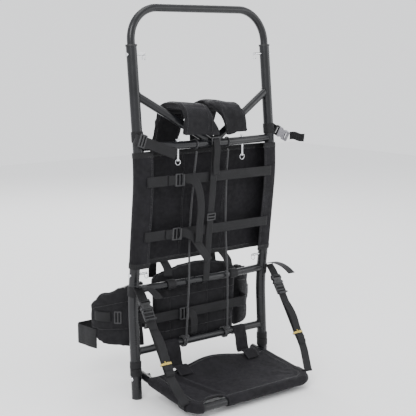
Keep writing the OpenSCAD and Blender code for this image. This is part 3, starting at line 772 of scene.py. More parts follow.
# Plastic hardware: each part lies flat, X along the webbing and Z out of its face
def ladderLock(name, width, place, material):
    # Frame with two slots, and a lifting tab at its free end
    shell = plate(name + "Plate",
                  [roundRect(24, width + 6, 3, 9), roundRect(5.6, width, 1, 5),
                   roundRect(5.6, width, 1, 14)],
                  3.6, 0.7, material, place @ Matrix.Translation((0, 0, 2)))
    tab = plate(name + "Tab", [roundRect(4.4, width + 4, 1.4, 19.2)], 2.4, 0.7, material,
                place @ Matrix.Translation((0, 0, 4.2)) @ Euler((0, math.radians(-14),
                                                                 0)).to_matrix().to_4x4())
    bar = plate(name + "Bar", [roundRect(3, width + 1, 1, 9.6)], 2.6, 0.6, material,
                place @ Matrix.Translation((0, 0, 3.6)))
    return joined(name, [shell, tab, bar])


def triGlide(name, width, place, material):
    shell = plate(name + "Plate",
                  [roundRect(19, width + 7, 2.6), roundRect(4, width, 0.9, -4),
                   roundRect(4, width, 0.9, 4)],
                  2.6, 0.6, material, place)
    bar = plate(name + "Bar", [roundRect(3.2, width + 1, 1)], 3.4, 0.7, material, place)
    return joined(name, [shell, bar])


def ribRow(name, width, pitch, count, x, z, material, place):
    ribs = [plate(name + str(k), [roundRect(0.9, width, 0.4, x + k * pitch, corner=2)], 1.0, 0.2, material,
                  place @ Matrix.Translation((0, 0, z))) for k in range(count)]
    return joined(name, ribs)


def releaseSocket(name, size, place, material):
    # Socket with its mouth at the origin facing +X, side windows and a webbing bar
    width, length, thick = size
    half = width / 2
    window = 0.16 * length
    body = [(-length * 0.86, -half * 0.94), (-length * 0.62, -half), (-length * 0.5, -half),
            (-length * 0.45, -half + 2.8), (-length * 0.26, -half + 2.8), (-length * 0.2, -half),
            (0, -half)]
    body += [(x, -y) for x, y in reversed(body)]
    upper = plate(name + "Upper", [body, roundRect(window, width - 9, 1.2, -length * 0.72)], thick * 0.27,
                  0.5, material,
                  place @ Matrix.Translation((0, 0, thick * 0.365)))
    lower = plate(name + "Lower", [body, roundRect(window, width - 9, 1.2, -length * 0.72)], thick * 0.27,
                  0.5, material,
                  place @ Matrix.Translation((0, 0, -thick * 0.365)))
    walls = [plate(name + "Wall" + str(k), [roundRect(w, h, 1, x, y)], thick * 0.74, 0.5, material, place)
             for k, (w, h, x, y) in enumerate([
                 (length * 0.36, 2.4, -length * 0.68, half - 1.6),
                 (length * 0.36, 2.4, -length * 0.68, -half + 1.6),
                 (length * 0.2, 2.2, -length * 0.1, half - 1.3),
                 (length * 0.2, 2.2, -length * 0.1, -half + 1.3),
                 (3.6, width - 5, -length * 0.55, 0)])]
    bar = plate(name + "Bar", [roundRect(length * 0.17, width, 2, -length * 0.915),
                               roundRect(length * 0.07, width - 6, 0.8, -length * 0.905)],
                thick * 0.62, 0.7, material, place)
    grip = ribRow(name + "Grip", width * 0.42, 1.9, 4, -length * 0.4, thick * 0.52, material, place)
    return joined(name, [upper, lower, *walls, bar, grip])


def releasePlug(name, size, place, material):
    width, length, thick = size
    head = plate(name + "Head", [roundRect(length * 0.4, width, 2.2, length * 0.2 + 0.5),
                                 roundRect(3.5, width - 6, 0.9, length * 0.4 - 4.6)], thick - 0.8, 0.9,
                                 material, place)
    prongs = []
    for side in (-1, 1):
        y = side * (width / 2 - 5)
        arm = [(1, y - 2), (-length * 0.22, y - 2 + side * 0.4), (-length * 0.3, y - 2.2 + side * 0.2),
               (-length * 0.5, y - 1), (-length * 0.5, y + 1), (-length * 0.3, y + 2.2 + side * 0.2),
               (-length * 0.22, y + 2 + side * 0.4), (1, y + 2)]
        prongs.append(plate(name + "Prong" + str(side + 1), [arm], thick - 4.6, 0.4, material, place))
    guide = plate(name + "Guide", [roundRect(length * 0.5, 4, 1, -length * 0.25 + 1)], thick - 4.6, 0.4,
                  material, place)
    grip = ribRow(name + "Grip", width * 0.6, 2.1, 3, 3.2, (thick - 0.8) / 2 + 0.1, material, place)
    return joined(name, [head, *prongs, guide, grip])


def facing(lean=0.0):
    # Turns a flat part so that its face looks towards the load, with X kept across the frame
    return Euler((math.radians(90 - lean), 0, 0)).to_matrix().to_4x4()


# Stay cords: held at the yoke bar and at the lower bar, with a knot at the lower end
stay = {
    "diameter": 5.0,
    "left": [(-50, -41, 600), (-50.5, -34, 560), (-51, -29, 526), (-53, -16, 405), (-55, -15.5, 300),
             (-55.5, -15.3, 271), (-56, -14, 240), (-57, -10, 180), (-58, -7, 128)],
    "right": [(48, -41, 600), (50, -34, 560), (52, -29, 526), (60, -16, 405), (66, -15.5, 300),
              (67.5, -15.3, 271), (69, -14, 240), (72, -10, 180), (74, -7, 128)],
}


def ringRoute(centre, radius, around, count=24, start=0, sweepAngle=360):
    # Points round an axis: "x" for a loop round a crossbar
    cx, cy, cz = centre
    points = []
    for k in range(count + 1):
        a = math.radians(start + sweepAngle * k / count)
        if around == "x":
            points.append((cx, cy + radius * math.cos(a), cz + radius * math.sin(a)))
        elif around == "y":
            points.append((cx + radius * math.cos(a), cy, cz + radius * math.sin(a)))
        else:
            points.append((cx + radius * math.cos(a), cy + radius * math.sin(a), cz))
    return points


def makeStayCords():
    radius = stay["diameter"] / 2
    for side in sides:
        route = stay[side]
        label = side.title()
        line = smoothRoute(route, 4)
        cord = settle(rope("stayCord" + label, route, radius, finish["cord"]), "frame", "cord",
                      "stay_cord_" + side)
        topX, lowX = route[0][0], route[-1][0]
        hitches = []
        topY = bowDepth(topX, yokeZ, yokeBow)
        hitches.append(rope(f"hitchTop{side}", ringRoute((topX, topY, yokeZ), barRadius + 1.9, "x")[:-1],
                            1.6, finish["cord"]))
        for k, shift in enumerate((-2.6, 2.6)):
            hitches.append(rope(f"hitchLow{side}{k}",
                                ringRoute((lowX + shift, uprightDepth(lowerZ), lowerZ),
                                          barRadius + radius + 0.3, "x")[:-1],
                                radius, finish["cord"], closed=False))
        hitches.append(rope(f"knotLow{side}",
                            [(lowX - 4, -8, 133), (lowX - 2, -11.5, 129), (lowX + 3.5, -11, 131),
                                               (lowX + 3.5, -6, 134), (lowX - 2, -4.5, 131)], radius,
                                               finish["cord"], step=2))
        settle(joined("stayKnots" + label, hitches), "frame", "cord")


makeStayCords()
print("stay cords done")


# Centre strap: hooked over the yoke bar, down the load side to the lumbar bar
webbing = {"width": 25, "thick": 1.6, "centreWidth": 20, "waistWidth": 50}


def makeCentreStrap():
    middle = bowDepth(0, yokeZ, yokeBow)
    wrap = barRadius + 0.45 + webbing["thick"] / 2
    hookY = middle - wrap
    frontY = hookY - webbing["thick"] - 0.4
    hook = [*ringRoute((0, middle, yokeZ), wrap, "x", 16, 350, -170), (0, hookY, 634)]
    lumbarY = bowDepth(0, lumbarZ, lumbarBow)
    front = [(0, frontY, 635), (0, frontY, 606), (0, -45.5, 560), (0, -42, 520), (0, -26.5, 400),
             (0, -15.5, 300),
             *ringRoute((0, lumbarY, lumbarZ), wrap, "x", 16, 175, 220)]
    pieces = [strip("centreHook", hook, (1, 0, 0), webbing["centreWidth"], webbing["thick"],
                    finish["webbing"], 3),
              strip("centreFront", front, (1, 0, 0), webbing["centreWidth"], webbing["thick"],
                    finish["webbing"], 3, 0.5, 4)]
    settle(joined("centreStrap", pieces), "frame", "webbing", "centre_strap")
    glideY = hookY - webbing["thick"] * 2 - 2
    turn = facing()
    across = Euler((0, 0, math.radians(90))).to_matrix().to_4x4()
    glides = [triGlide("glideTop", webbing["centreWidth"],
                       Matrix.Translation((0, glideY, 624)) @ turn @ across, finish["buckle"]),
              triGlide("glideLow", webbing["centreWidth"],
                       Matrix.Translation((0, -34, 434)) @ facing(-7.4) @ across,
                       finish["buckle"])]
    settle(joined("centreGlides", glides), "frame", "buckle", "centre_glides")
    # the strap's spare length folds back below the upper glide
    tail = [(0, glideY - 1, 630), (0, glideY - 4, 618), (0.5, glideY - 5.5, 600), (2, -52, 570),
            (4, -50, 540)]
    settle(strip("centreTail", tail, (1, 0, 0), webbing["centreWidth"] - 1, webbing["thick"],
                 finish["webbing"], 4, 0.8, 9),
           "frame", "webbing")


makeCentreStrap()


# Panel straps: two that pull the panel tight, each with a ladder lock and a hanging tail
panelStrap = {"upper": 536, "lower": 404, "gap": 15.85, "lockX": -111, "rightEnd": 194, "leftEnd": -192}


def panelPlace(z):
    return Matrix.Translation((0, uprightDepth(z), z)) @ Euler((math.radians(-leanAt(z)), 0,
                                                                0)).to_matrix().to_4x4()


def makePanelStraps():
    halfT = webbing["thick"] / 2
    y = -panelStrap["gap"] - halfT
    pieces = []
    for height in ("upper", "lower"):
        z = panelStrap[height]
        place = panelPlace(z)
        across = place.to_3x3() @ Vector((0, 0, 1))
        runs = [[(-91, y), (-40, y - 1.2), (40, y - 1.2), (120, y - 0.4), (panelStrap["rightEnd"], y)],
                [(panelStrap["leftEnd"], y), (-160, y - 0.6), (-130, y)]]
        for k, run in enumerate(runs):
            route = [place @ Vector((x, depth, 0)) for x, depth in run]
            pieces.append(strip(f"panelStrap{height}{k}", route, across, webbing["width"], webbing["thick"],
                                finish["webbing"], 5, 0.35, 3 + k))
        # loop of the short strap through the lock's bar
        loop = [place @ Vector(p) for p in ((-132, y, 0), (-118, y - 0.6, 0), (-112.5, y - 3.2, 0),
                                            (-114, y - 5, 0),
                                            (-120, y - 3.8, 0), (-132, y - 1.8, 0))]
        pieces.append(strip(f"panelLoop{height}", loop, across, webbing["width"] - 1.5, 1.3,
                            finish["webbing"], 3))
    settle(joined("panelStraps", pieces), "frame", "webbing", "panel_straps")

    for height in ("upper", "lower"):
        place = panelPlace(panelStrap[height]) @ Matrix.Translation((panelStrap["lockX"], y - halfT - 0.4,
                                                                     0))
        lock = ladderLock("panelLock" + height.title(), webbing["width"], place @ facing(),
                          finish["buckle"])
        settle(lock, "panel_lock_" + height, "buckle", "panel_lock_" + height)

    tails = {
        "panelTailUpper": [(-92, -41, 538, 0), (-80, -48, 537, 0), (-62, -52, 528, 20), (-50, -53, 500, 70),
                           (-46, -52, 460, 88), (-45, -46, 415, 90), (-44, -40, 375, 92)],
        "panelTailLower": [(-92, -28, 404, 0), (-78, -34, 402, 0), (-58, -37, 390, 25), (-42, -36, 370, 38),
                           (-22, -33, 345, 42), (-4, -32, 322, 50)],
    }
    for name, route in tails.items():
        def crossing(i, p):
            a = math.radians(p[3])
            return (math.sin(a), 0, math.cos(a))
        settle(strip(name, route, crossing, 22, webbing["thick"], finish["webbing"], 5, 0.9, 5), "frame",
               "webbing")


makePanelStraps()


# Load straps: rings round the uprights, the left one laid across, the right one closed by a grey buckle
load = {"z": 642, "start": (223, -14, 641), "aim": (12, -41, -22), "mouth": 17, "buckle": (26, 30, 8),
        "tail": [(236.5, -60, 624), (240, -73, 625), (244, -88, 621), (247, -102, 621)]}


def loadPlace():
    aim = Vector(load["aim"])
    turnY = math.degrees(math.acos(aim.z / aim.length))
    turnZ = math.degrees(math.atan2(aim.y, aim.x))
    return spot(*load["start"], 0, turnY, turnZ) @ spot(0, 0, 0, 0, -90, 0)


def loopStrip(name, side, z, extra, width=None):
    place = Matrix.Translation((side * upright["half"], uprightDepth(z),
                                z)) @ Euler((math.radians(-leanAt(z)), 0, 0)).to_matrix().to_4x4()
    radius = upright["radius"] + 0.2 + extra + webbing["thick"] / 2
    route = [place @ Vector(p) for p in ringRoute((0, 0, 0), radius, "z", 28)]
    line = [tuple(p) for p in route[:-1]]
    across = place.to_3x3() @ Vector((0, 0, 1))
    return sweep(name, line, lambda i, p: across, flatOutline(width or webbing["width"], webbing["thick"]),
                 finish["webbing"], closed=True)


def makeLoadStraps():
    z = load["z"]
    tilt = math.radians(21)
    start = Vector((-upright["half"] - 8, -41.7, z - 6))
    along = Vector((math.cos(tilt), 0, -math.sin(tilt)))
    across = Vector((math.sin(tilt), 0, math.cos(tilt)))
    route = [start + Vector((-4, 20, 3)), start + Vector((-6, 8, 1)), start,
             *[start + along * s + Vector((0, -0.8 * math.sin(s / 14), 0)) for s in (20, 45, 75, 106)]]
    left = [loopStrip("leftLoop", -1, z, 0),
            strip("leftRun", route, across, webbing["width"], webbing["thick"], finish["webbing"], 5, 0.5,
                  2)]
    settle(joined("loadStrapLeft", left), "frame", "webbing", "load_strap_left")
    settle(triGlide("loadGlide", webbing["width"],
                    Matrix.Translation(start + along * 3 + Vector((0, -3, 0))) @ spot(0, 0, 0, 0, 21,
                                                                                      0) @ facing(),
                    finish["buckle"]), "frame", "buckle")

    place = loadPlace()
    short = [place @ Vector(p) for p in ((-8, 0, 0), (-2, 0, 0), (5, 0, 0))]
    across = place.to_3x3() @ Vector((0, 0, 1))
    right = [loopStrip("rightLoop", 1, z, 0),
             strip("rightRun", short, across, 21, webbing["thick"], finish["webbing"], 3)]
    settle(joined("loadStrapRight", right), "frame", "webbing", "load_strap_right")
    mouth = place @ spot(load["mouth"], 0, 0, 0, 0, 180) @ facing()
    settle(releasePlug("loadPlug", load["buckle"], mouth, finish["buckle"]), "frame", "buckle", "load_plug")
    settle(releaseSocket("loadSocket", load["buckle"], mouth, finish["greyBuckle"]), "load_socket",
           "grey_buckle", "load_socket")
    settle(strip("loadTail", load["tail"], (0.2, 0.25, 1), 20, webbing["thick"], finish["webbing"], 4, 0.6,
                 6),
           "load_socket", "webbing", "load_tail")


makeLoadStraps()
print("frame straps done")


# Back panel: one cloth band round both uprights, with flaps on the load side
panel = {"bottom": 326.5, "top": 604.5, "rows": 64, "reach": 14.15, "flapEdge": 172, "thick": 1.4,
         "fold": 2.2, "binding": 13}


def panelCross():
    # (x, y) round the band, from the left flap's edge to the right one's
    half, reach = upright["half"], panel["reach"]
    flap = [(-panel["flapEdge"] - 4 * k, -reach) for k in range(9)]
    leftArc = [(-half + reach * math.cos(math.radians(a)),
                reach * math.sin(math.radians(a))) for a in range(255, 89, -15)]
    rear = [(-half + 408 * k / 68, reach) for k in range(1, 68)]
    rightArc = [(-x, y) for x, y in reversed(leftArc)]
    return [*flap, *leftArc, *rear, *rightArc, *[(-x, y) for x, y in reversed(flap)]]


def panelPush(x, z):
    # How far the cloth stands off its flat shape, towards the wearer
    nearStrap = max(math.exp(-((z - panelStrap[h]) / 26) ** 2) for h in ("upper", "lower"))
    inside = max(0.0, 1 - (abs(x) / 204) ** 6)
    pull = -2.4 * nearStrap * inside
    ripples = 1.3 * math.sin(z / 17 + 0.006 * x + 1.3 * math.sin(x / 90)) * inside
    drapes = (1.5 * math.sin(x / 21 + 0.5 * math.sin(z / 60))
              * math.exp(-((z - panel["bottom"]) / 70) ** 2) * inside)
    return pull + ripples + drapes


def panelPoint(x, y, z):
    place = panelPlace(z)
    if abs(x) < upright["half"] and y > 0:
        y += panelPush(x, z)
    elif y < 0 and abs(x) < upright["half"]:
        nearStrap = max(math.exp(-((z - panelStrap[h]) / 20) ** 2) for h in ("upper", "lower"))
        loose = min(1.0, (upright["half"] - abs(x)) / 26)
        y += (0.5 - panel["fold"] * (0.6 + 0.4 * math.sin(z / 33 + abs(x) / 7))) * loose * (1 - nearStrap)
    return place @ Vector((x, y, 0))


def makePanel():
    cross = panelCross()
    points, faces = [], []
    for r in range(panel["rows"] + 1):
        z = panel["bottom"] + (panel["top"] - panel["bottom"]) * r / panel["rows"]
        points += [panelPoint(x, y, z) for x, y in cross]
    wide = len(cross)
    for r in range(panel["rows"]):
        for k in range(wide - 1):
            faces.append((r * wide + k, r * wide + k + 1, (r + 1) * wide + k + 1, (r + 1) * wide + k))
    cloth = addPiece("backPanel", points, faces, finish["packCloth"])
    thicken = cloth.modifiers.new("thicken", "SOLIDIFY")
    thicken.thickness = panel["thick"] * mm
    thicken.offset = 0
    softened(cloth)
    settle(cloth, "frame", "panel_cloth", "back_panel")

    tapes, rows = [], []
    inset = panel["binding"] / 2
    for label, edge, step in (("Top", panel["top"], -1), ("Bottom", panel["bottom"], 1)):
        z = edge + step * (inset - 1)
        up = panelPlace(z).to_3x3() @ Vector((0, 0, 1))
        tapes.append(sweep("panelTape" + label, [tuple(panelPoint(x, y, z)) for x, y in cross], lambda i,
                           p: up,
                           flatOutline(panel["binding"], panel["thick"] + 1.3), finish["binding"]))
        for shift in (inset - 2, inset - 4.5):
            seam = edge + step * (inset + shift)
            for out in (1.55, -1.55):
                lift = [tuple(panelPoint(x, y,
                                         seam) + panelPlace(seam).to_3x3() @ Vector((0,
                                                                                     out if y > 0 else -out,
                                                                                     0)))
                        for x, y in cross if abs(x) < 190]
                rows += [lift[:5], lift[9:-9], lift[-5:]] if len(lift) > 24 else [lift]
    for side in sides.values():
        for inset in (3, 6.5):
            x = side * (panel["flapEdge"] + inset)
            rows.append([tuple(panelPoint(x, -panel["reach"], z) + Vector((0, -0.9, 0)))
                         for z in range(int(panel["bottom"]) + 12, int(panel["top"]) - 12, 6)])
        for x in (side * 62, side * 66):
            rows.append([tuple(panelPoint(x, panel["reach"], z) + Vector((0, 0.9, 0)))
                         for z in range(int(panel["bottom"]) + 12, int(panel["top"]) - 12, 6)])
            rows.append([tuple(panelPoint(x, panel["reach"], z) + Vector((0, -0.9, 0)))
                         for z in range(int(panel["bottom"]) + 12, int(panel["top"]) - 12, 6)])
    tape = settle(joined("panelBinding", tapes), "frame", "webbing")
    seams = settle(grow("panelStitches", "stitches", rows, finish["thread"]), "frame", "panel_cloth")


makePanel()
print("back panel done")


# Padded parts start from their plain CAD solids, and are blown up as stuffed cloth
def padFrom(node, name, voxel, swell, shrink, rounds, frames=20, pressure=4.0):
    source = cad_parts[node]
    mesh = source.data.copy()
    mesh.materials.clear()
    mesh.materials.append(finish["padCloth"])
    pad = bpy.data.objects.new(name, mesh)
    bpy.context.scene.collection.objects.link(pad)
    work = bmesh.new()
    work.from_mesh(mesh)
    bmesh.ops.remove_doubles(work, verts=work.verts, dist=1e-5)
    work.to_mesh(mesh)
    work.free()
    remesh = pad.modifiers.new("remesh", "REMESH")
    remesh.mode = "VOXEL"
    remesh.voxel_size = voxel * mm
    relax = pad.modifiers.new("relax", "SMOOTH")
    relax.factor = 0.5
    relax.iterations = rounds
    applied(pad)
    work = bmesh.new()
    work.from_mesh(pad.data)
    work.normal_update()
    for vertex, push in [(v, v.normal * -shrink * mm) for v in work.verts]:
        vertex.co += push
    work.to_mesh(pad.data)
    work.free()
    blowUp(pad, swell, frames, pressure)
    pad.data.materials.clear()
    pad.data.materials.append(finish["padCloth"])
    pad.data.polygons.foreach_set("use_smooth", [True] * len(pad.data.polygons))
    return pad


def blowUp(pad, swell, frames, pressure):
    start = [v.co.copy() for v in pad.data.vertices]
    cloth = pad.modifiers.new("stuffing", "CLOTH")
    settings = cloth.settings
    settings.quality = 5
    settings.mass = 0.2
    settings.tension_stiffness = 12
    settings.compression_stiffness = 12
    settings.bending_stiffness = 0.4
    settings.use_pressure = True
    settings.uniform_pressure_force = pressure
    settings.effector_weights.gravity = 0
    cloth.point_cache.frame_start = 1
    cloth.point_cache.frame_end = frames
    scene = bpy.context.scene
    for step in range(1, frames + 1):
        scene.frame_set(step)
    blown = pad.evaluated_get(bpy.context.evaluated_depsgraph_get()).to_mesh()
    places = [v.co.copy() for v in blown.vertices]
    pad.modifiers.remove(cloth)
    scene.frame_set(1)
    for vertex, first, place in zip(pad.data.vertices, start, places):
        push = place - first
        if push.length > swell * mm:
            push *= swell * mm / push.length
        vertex.co = first + push


def crease(pad, lines):
    # Pulls the cloth in along sewn lines: (start, end, width, depth), all in millimetres
    work = bmesh.new()
    work.from_mesh(pad.data)
    work.normal_update()
    moves = []
    for vertex in work.verts:
        pull = 0.0
        for start, end, width, depth in lines:
            a, b = at(start), at(end)
            share = max(0.0, min(1.0, (vertex.co - a).dot(b - a) / (b - a).length_squared))
            near = (vertex.co - (a + (b - a) * share)).length / (width * mm)
            pull = max(pull, depth * math.exp(-near * near))
        moves.append(vertex.normal * -pull * mm)
    for vertex, move in zip(work.verts, moves):
        vertex.co += move
    work.to_mesh(pad.data)
    work.free()


def onSurface(pad, points, lift=0.5):
    # The nearest places on a finished pad to some points in millimetres
    tree = BVHTree.FromObject(pad, bpy.context.evaluated_depsgraph_get())
    found = []
    for point in points:
        place, normal, _, _ = tree.find_nearest(at(point))
        found.append(tuple((place + normal * lift * mm) / mm))
    return found


def between(start, end, count):
    return [tuple(Vector(start).lerp(Vector(end), k / count)) for k in range(count + 1)]


# Shoulder pads: over the braces, down the wearer's side and forward to a tri-glide
shoulder = {"width": 80, "tilt": 6, "topZ": 713, "x": {"left": -56, "right": 48}, "voxel": 5, "swell": 6,
            "shrink": 1.6,
            "side": [(-54, 636), (-56, 662), (-51, 690), (-39, 705), (-23, 711), (20, 711), (42, 706),
                     (56, 692), (64, 672), (70, 645), (78, 605), (88, 555), (96, 505), (98, 455),
                     (94, 410), (84, 372)],
            "web": [(10, 286), (19.5, 310), (76, 348), (84, 364)]}


def onPad(side):
    turn = Euler((0, math.radians(-shoulder["tilt"] * sides[side]), 0)).to_matrix().to_4x4()
    return (Matrix.Translation((shoulder["x"][side], 0, shoulder["topZ"])) @ turn
            @ Matrix.Translation((0, 0, -shoulder["topZ"])))


def padEdge(place, across, out):
    # Runs along a pad's side path, out of its middle by a distance
    path = [Vector((0, y, z)) for y, z in shoulder["side"]]
    edge = []
    for i, p in enumerate(path):
        along = (path[min(i + 1, len(path) - 1)] - path[max(i - 1, 0)]).normalized()
        normal = Vector((0, -along.z, along.y))
        edge.append(tuple(place @ (p + normal * out + Vector((across, 0, 0)))))
    return edge


def rise(value, low, high):
    share = max(0.0, min(1.0, (value - low) / (high - low)))
    return share * share * (3 - 2 * share)


def drape(pad, side):
    # The front flaps lap over each other: the left one widens as it hangs, the right one narrows,
    # and behind the braces the two pads meet
    for vertex in pad.data.vertices:
        x, y, z = vertex.co / mm
        front, rear = 1 - rise(y, -30, 20), rise(y, 5, 45) * rise(z, 560, 640)
        if side == "left":
            share = max(0.0, min(1.2, (x + 96) / 80))
            x += share * (6 + 30 * rise(-z, -700, -640)) * front + share * 14 * rear
        else:
            share = max(0.0, min(1.2, (88 - x) / 80))
            x += share * (17 * rise(-z, -700, -640) - 15 * rise(z, 680, 708)) * front - share * 12 * rear
            y -= 7 * (1 - rise(x, 5, 40)) * front
            z += (7 * math.exp(-((x - 16) / 26) ** 2) - 7 * rise(x, 36, 88)) * rise(z, 680, 705)
        vertex.co = at((x, y, z))


def makeShoulders():
    for side, turn in sides.items():
        label = side.title()
        node = "shoulder_pad_" + side
        place = onPad(side)
        pad = padFrom(node, "shoulderPad" + label, shoulder["voxel"], shoulder["swell"], shoulder["shrink"],
                      4)
        drape(pad, side)
        half = shoulder["width"] / 2
        path = shoulder["side"]
        lines = []
        for k in (3, 9, 11, 13):
            y, z = path[k]
            for face in (-8, 8):
                along = (Vector((0, *path[k + 1])) - Vector((0, *path[k - 1]))).normalized()
                normal = Vector((0, -along.z, along.y)) * face
                middle = Vector((0, y, z)) + normal
                lines.append((place @ (middle + Vector((-half + 6, 0, 0))),
                              place @ (middle + Vector((half - 6, 0, 0))), 4.5, 2.0))
        # soft wrinkles across the front flap
        for z, lean in ((652, 5), (668, -4), (681, 3)):
            lines.append((place @ Vector((-half + 8, -62, z)), place @ Vector((half - 14, -62, z + lean)),
                          4, 2.2))
        lines.append((place @ Vector((turn * -30, -60, 700)), place @ Vector((turn * -4, -64, 664)), 6,
                      3.2))
        crease(pad, lines)
        softened(pad)
        settle(pad, "frame", "pad_cloth", node)
        rows = []
        for k in (9, 11, 13):
            y, z = path[k]
            ends = [place @ Vector((x, y + 12, z)) for x in (-half + 8, half - 8)]
            rows.append(onSurface(pad, between(*ends, 18)))
        for across in (-half + 9, half - 9):
            rows.append(onSurface(pad, padEdge(place, across, 10), 0.4))
            rows.append(onSurface(pad, padEdge(place, across, -10), 0.4))
        settle(grow("shoulderStitches" + label, "stitches", [smoothRoute(r, 3) for r in rows],
                    finish["thread"]),
               "frame", "pad_cloth")
        pipes = []
        for across in (-half - 0.2, half + 0.2):
            pipes.append(rope("pipe", onSurface(pad, smoothRoute(padEdge(place, across, 0), 8), 0.6), 1.7,
                              finish["binding"], 4, 8))
        settle(joined("shoulderPiping" + label, pipes), "frame", "pad_cloth")

    webs, glides = [], []
    for side in sides:
        place = onPad(side)
        route = [tuple(place @ Vector((0, y, z))) for y, z in shoulder["web"]]
        webs.append(strip("shoulderWeb" + side, route, (1, 0, 0), webbing["width"], webbing["thick"],
                          finish["webbing"], 4))
        anchorX = (shoulder["x"][side]
                   + sides[side] * (shoulder["topZ"] - lumbarZ) * math.tan(math.radians(shoulder["tilt"])))
        centre = (anchorX, bowDepth(anchorX, lumbarZ, lumbarBow), lumbarZ)
        loop = [tuple(p) for p in ringRoute(centre, barRadius + 1.3 + webbing["thick"] / 2, "x", 24)][:-1]
        webs.append(sweep("webLoop" + side, loop, lambda i, p: (1, 0, 0),
                          flatOutline(webbing["width"], webbing["thick"]),
                          finish["webbing"], closed=True))
        tail = [tuple(place @ Vector((0, y, z))) for y,
                z in ((62, 345), (70, 338), (78, 322), (80, 300), (77, 272))]
        webs.append(strip("webTail" + side, tail, (1, 0, 0), webbing["width"] - 1, webbing["thick"],
                          finish["webbing"], 4, 0.8, 8))
        glides.append(triGlide("shoulderGlide" + side, webbing["width"],
                               place @ spot(0, 58, 339.3, -56, 0,
                                            0) @ facing() @ Euler((0, 0,
                                                                   math.radians(90))).to_matrix().to_4x4(),
                               finish["buckle"]))
    settle(joined("shoulderWebs", webs), "frame", "webbing", "shoulder_webs")
    settle(joined("shoulderGlides", glides), "frame", "buckle", "shoulder_locks")


makeShoulders()
print("shoulder pads done")


# Hip belt: a lumbar pad and two wings, with the bands that hold them
belt = {"voxel": 5.5, "swell": 7, "shrink": 2.2, "wingCentre": (126, 166), "wingRadius": 120,
        "wingThick": 24,
        "bandZ": 188, "bandY": 9, "waistZ": 127, "waistY": 210, "loop": 16.5}


def onWing(turn, radius, angle, z):
    a = math.radians(angle)
    return (turn * (belt["wingCentre"][0] + radius * math.cos(a)),
            belt["wingCentre"][1] + radius * math.sin(a), z)


def wingTop(y):
    outline = ((40, 284), (54, 278), (126, 243), (153, 212), (200, 212))
    for (y0, z0), (y1, z1) in zip(outline, outline[1:]):
        if y <= y1:
            return z0 + (z1 - z0) * (y - y0) / (y1 - y0)
    return 212


def wingBottom(y):
    outline = ((40, 108), (110, 112), (136, 124), (153, 158))
    for (y0, z0), (y1, z1) in zip(outline, outline[1:]):
        if y <= y1:
            return z0 + (z1 - z0) * (y - y0) / (y1 - y0)
    return 158


def makeBelt():
    pad = padFrom("lumbar_pad", "lumbarPad", belt["voxel"], belt["swell"], belt["shrink"], 4)
    lines = []
    for y in (20, 54):
        lines += [((x, y, 104), (x, y, 300), 5, 2.6) for x in (-88, -30, 30, 88)]
        lines += [((-128, y, z), (128, y, z), 5, 1.8) for z in (146, 232)]
    crease(pad, lines)
    softened(pad)
    settle(pad, "frame", "pad_cloth", "lumbar_pad")
    rows = [onSurface(pad, between((x, 20, 108), (x, 20, 296), 40)) for x in (-88, -30, 30, 88)]
    rows += [onSurface(pad, between((x, 56, 108), (x, 56, 296), 40)) for x in (-88, -30, 30, 88)]
    rows += [onSurface(pad, between((-124, y, z), (124, y, z), 50)) for z in (146, 232) for y in (20, 56)]
    settle(grow("lumbarStitches", "stitches", rows, finish["thread"]), "frame", "pad_cloth")
    rim = onSurface(pad,
                    smoothRoute([(-131, 37, 112), (-135, 37, 190), (-134, 37, 276), (-105, 37, 304),
                                 (-50, 37, 316),
                                      (0, 37, 320), (50, 37, 316), (105, 37, 304), (134, 37, 276),
                                      (135, 37, 190),
                                      (131, 37, 112), (100, 37, 90), (0, 37, 90), (-100, 37, 90),
                                      (-131, 37, 112)], 8), 0.5)
    settle(rope("lumbarPiping", rim, 1.7, finish["binding"], 5, 8), "frame", "pad_cloth")

    for side, turn in sides.items():
        label = side.title()
        wing = padFrom("hip_wing_" + side, "hipWing" + label, belt["voxel"], belt["swell"], belt["shrink"],
                       4)
        outer, inner = belt["wingRadius"] + 2, belt["wingRadius"] - belt["wingThick"] - 2
        lines = []
        for radius in (outer, inner):
            for low, high in ((0.3, 0.3), (0.72, 0.72)):
                for a in range(-78, -12, 8):
                    y0, y1 = onWing(turn, radius, a, 0)[1], onWing(turn, radius, a + 8, 0)[1]
                    z0 = wingBottom(y0) + (wingTop(y0) - wingBottom(y0)) * low
                    z1 = wingBottom(y1) + (wingTop(y1) - wingBottom(y1)) * high
                    lines.append((onWing(turn, radius, a, z0), onWing(turn, radius, a + 8, z1), 5, 2.2))
        crease(wing, lines)
        softened(wing)
        settle(wing, "frame", "pad_cloth", "hip_wing_" + side)
        rows = []
        for radius in (outer + 4, inner - 4):
            for share in (0.3, 0.72):
                row = []
                for a in range(-76, -11, 2):
                    y = onWing(turn, radius, a, 0)[1]
                    row.append(onWing(turn, radius, a,
                                      wingBottom(y) + (wingTop(y) - wingBottom(y)) * share))
                rows.append(onSurface(wing, row))
        settle(grow("wingStitches" + label, "stitches", rows, finish["thread"]), "frame", "pad_cloth")
        middle = belt["wingRadius"] - belt["wingThick"] / 2
        edge = [onWing(turn, middle, a, wingTop(onWing(turn, middle, a, 0)[1]) + 4) for a in range(-78, -10,
                                                                                                   4)]
        foot = [onWing(turn, middle, a, wingBottom(onWing(turn, middle, a, 0)[1]) - 4) for a in range(-78,
                                                                                                      -10,
                                                                                                      4)]
        settle(grow("wingRibbing" + label, "piping", [smoothRoute(onSurface(wing, edge, 0.2), 3)],
                    finish["binding"]),
               "frame", "pad_cloth")
        settle(rope("wingPiping" + label, onSurface(wing, foot, 0.4), 1.8, finish["binding"], 4, 8),
               "frame", "pad_cloth")


makeBelt()
print("hip belt pads done")


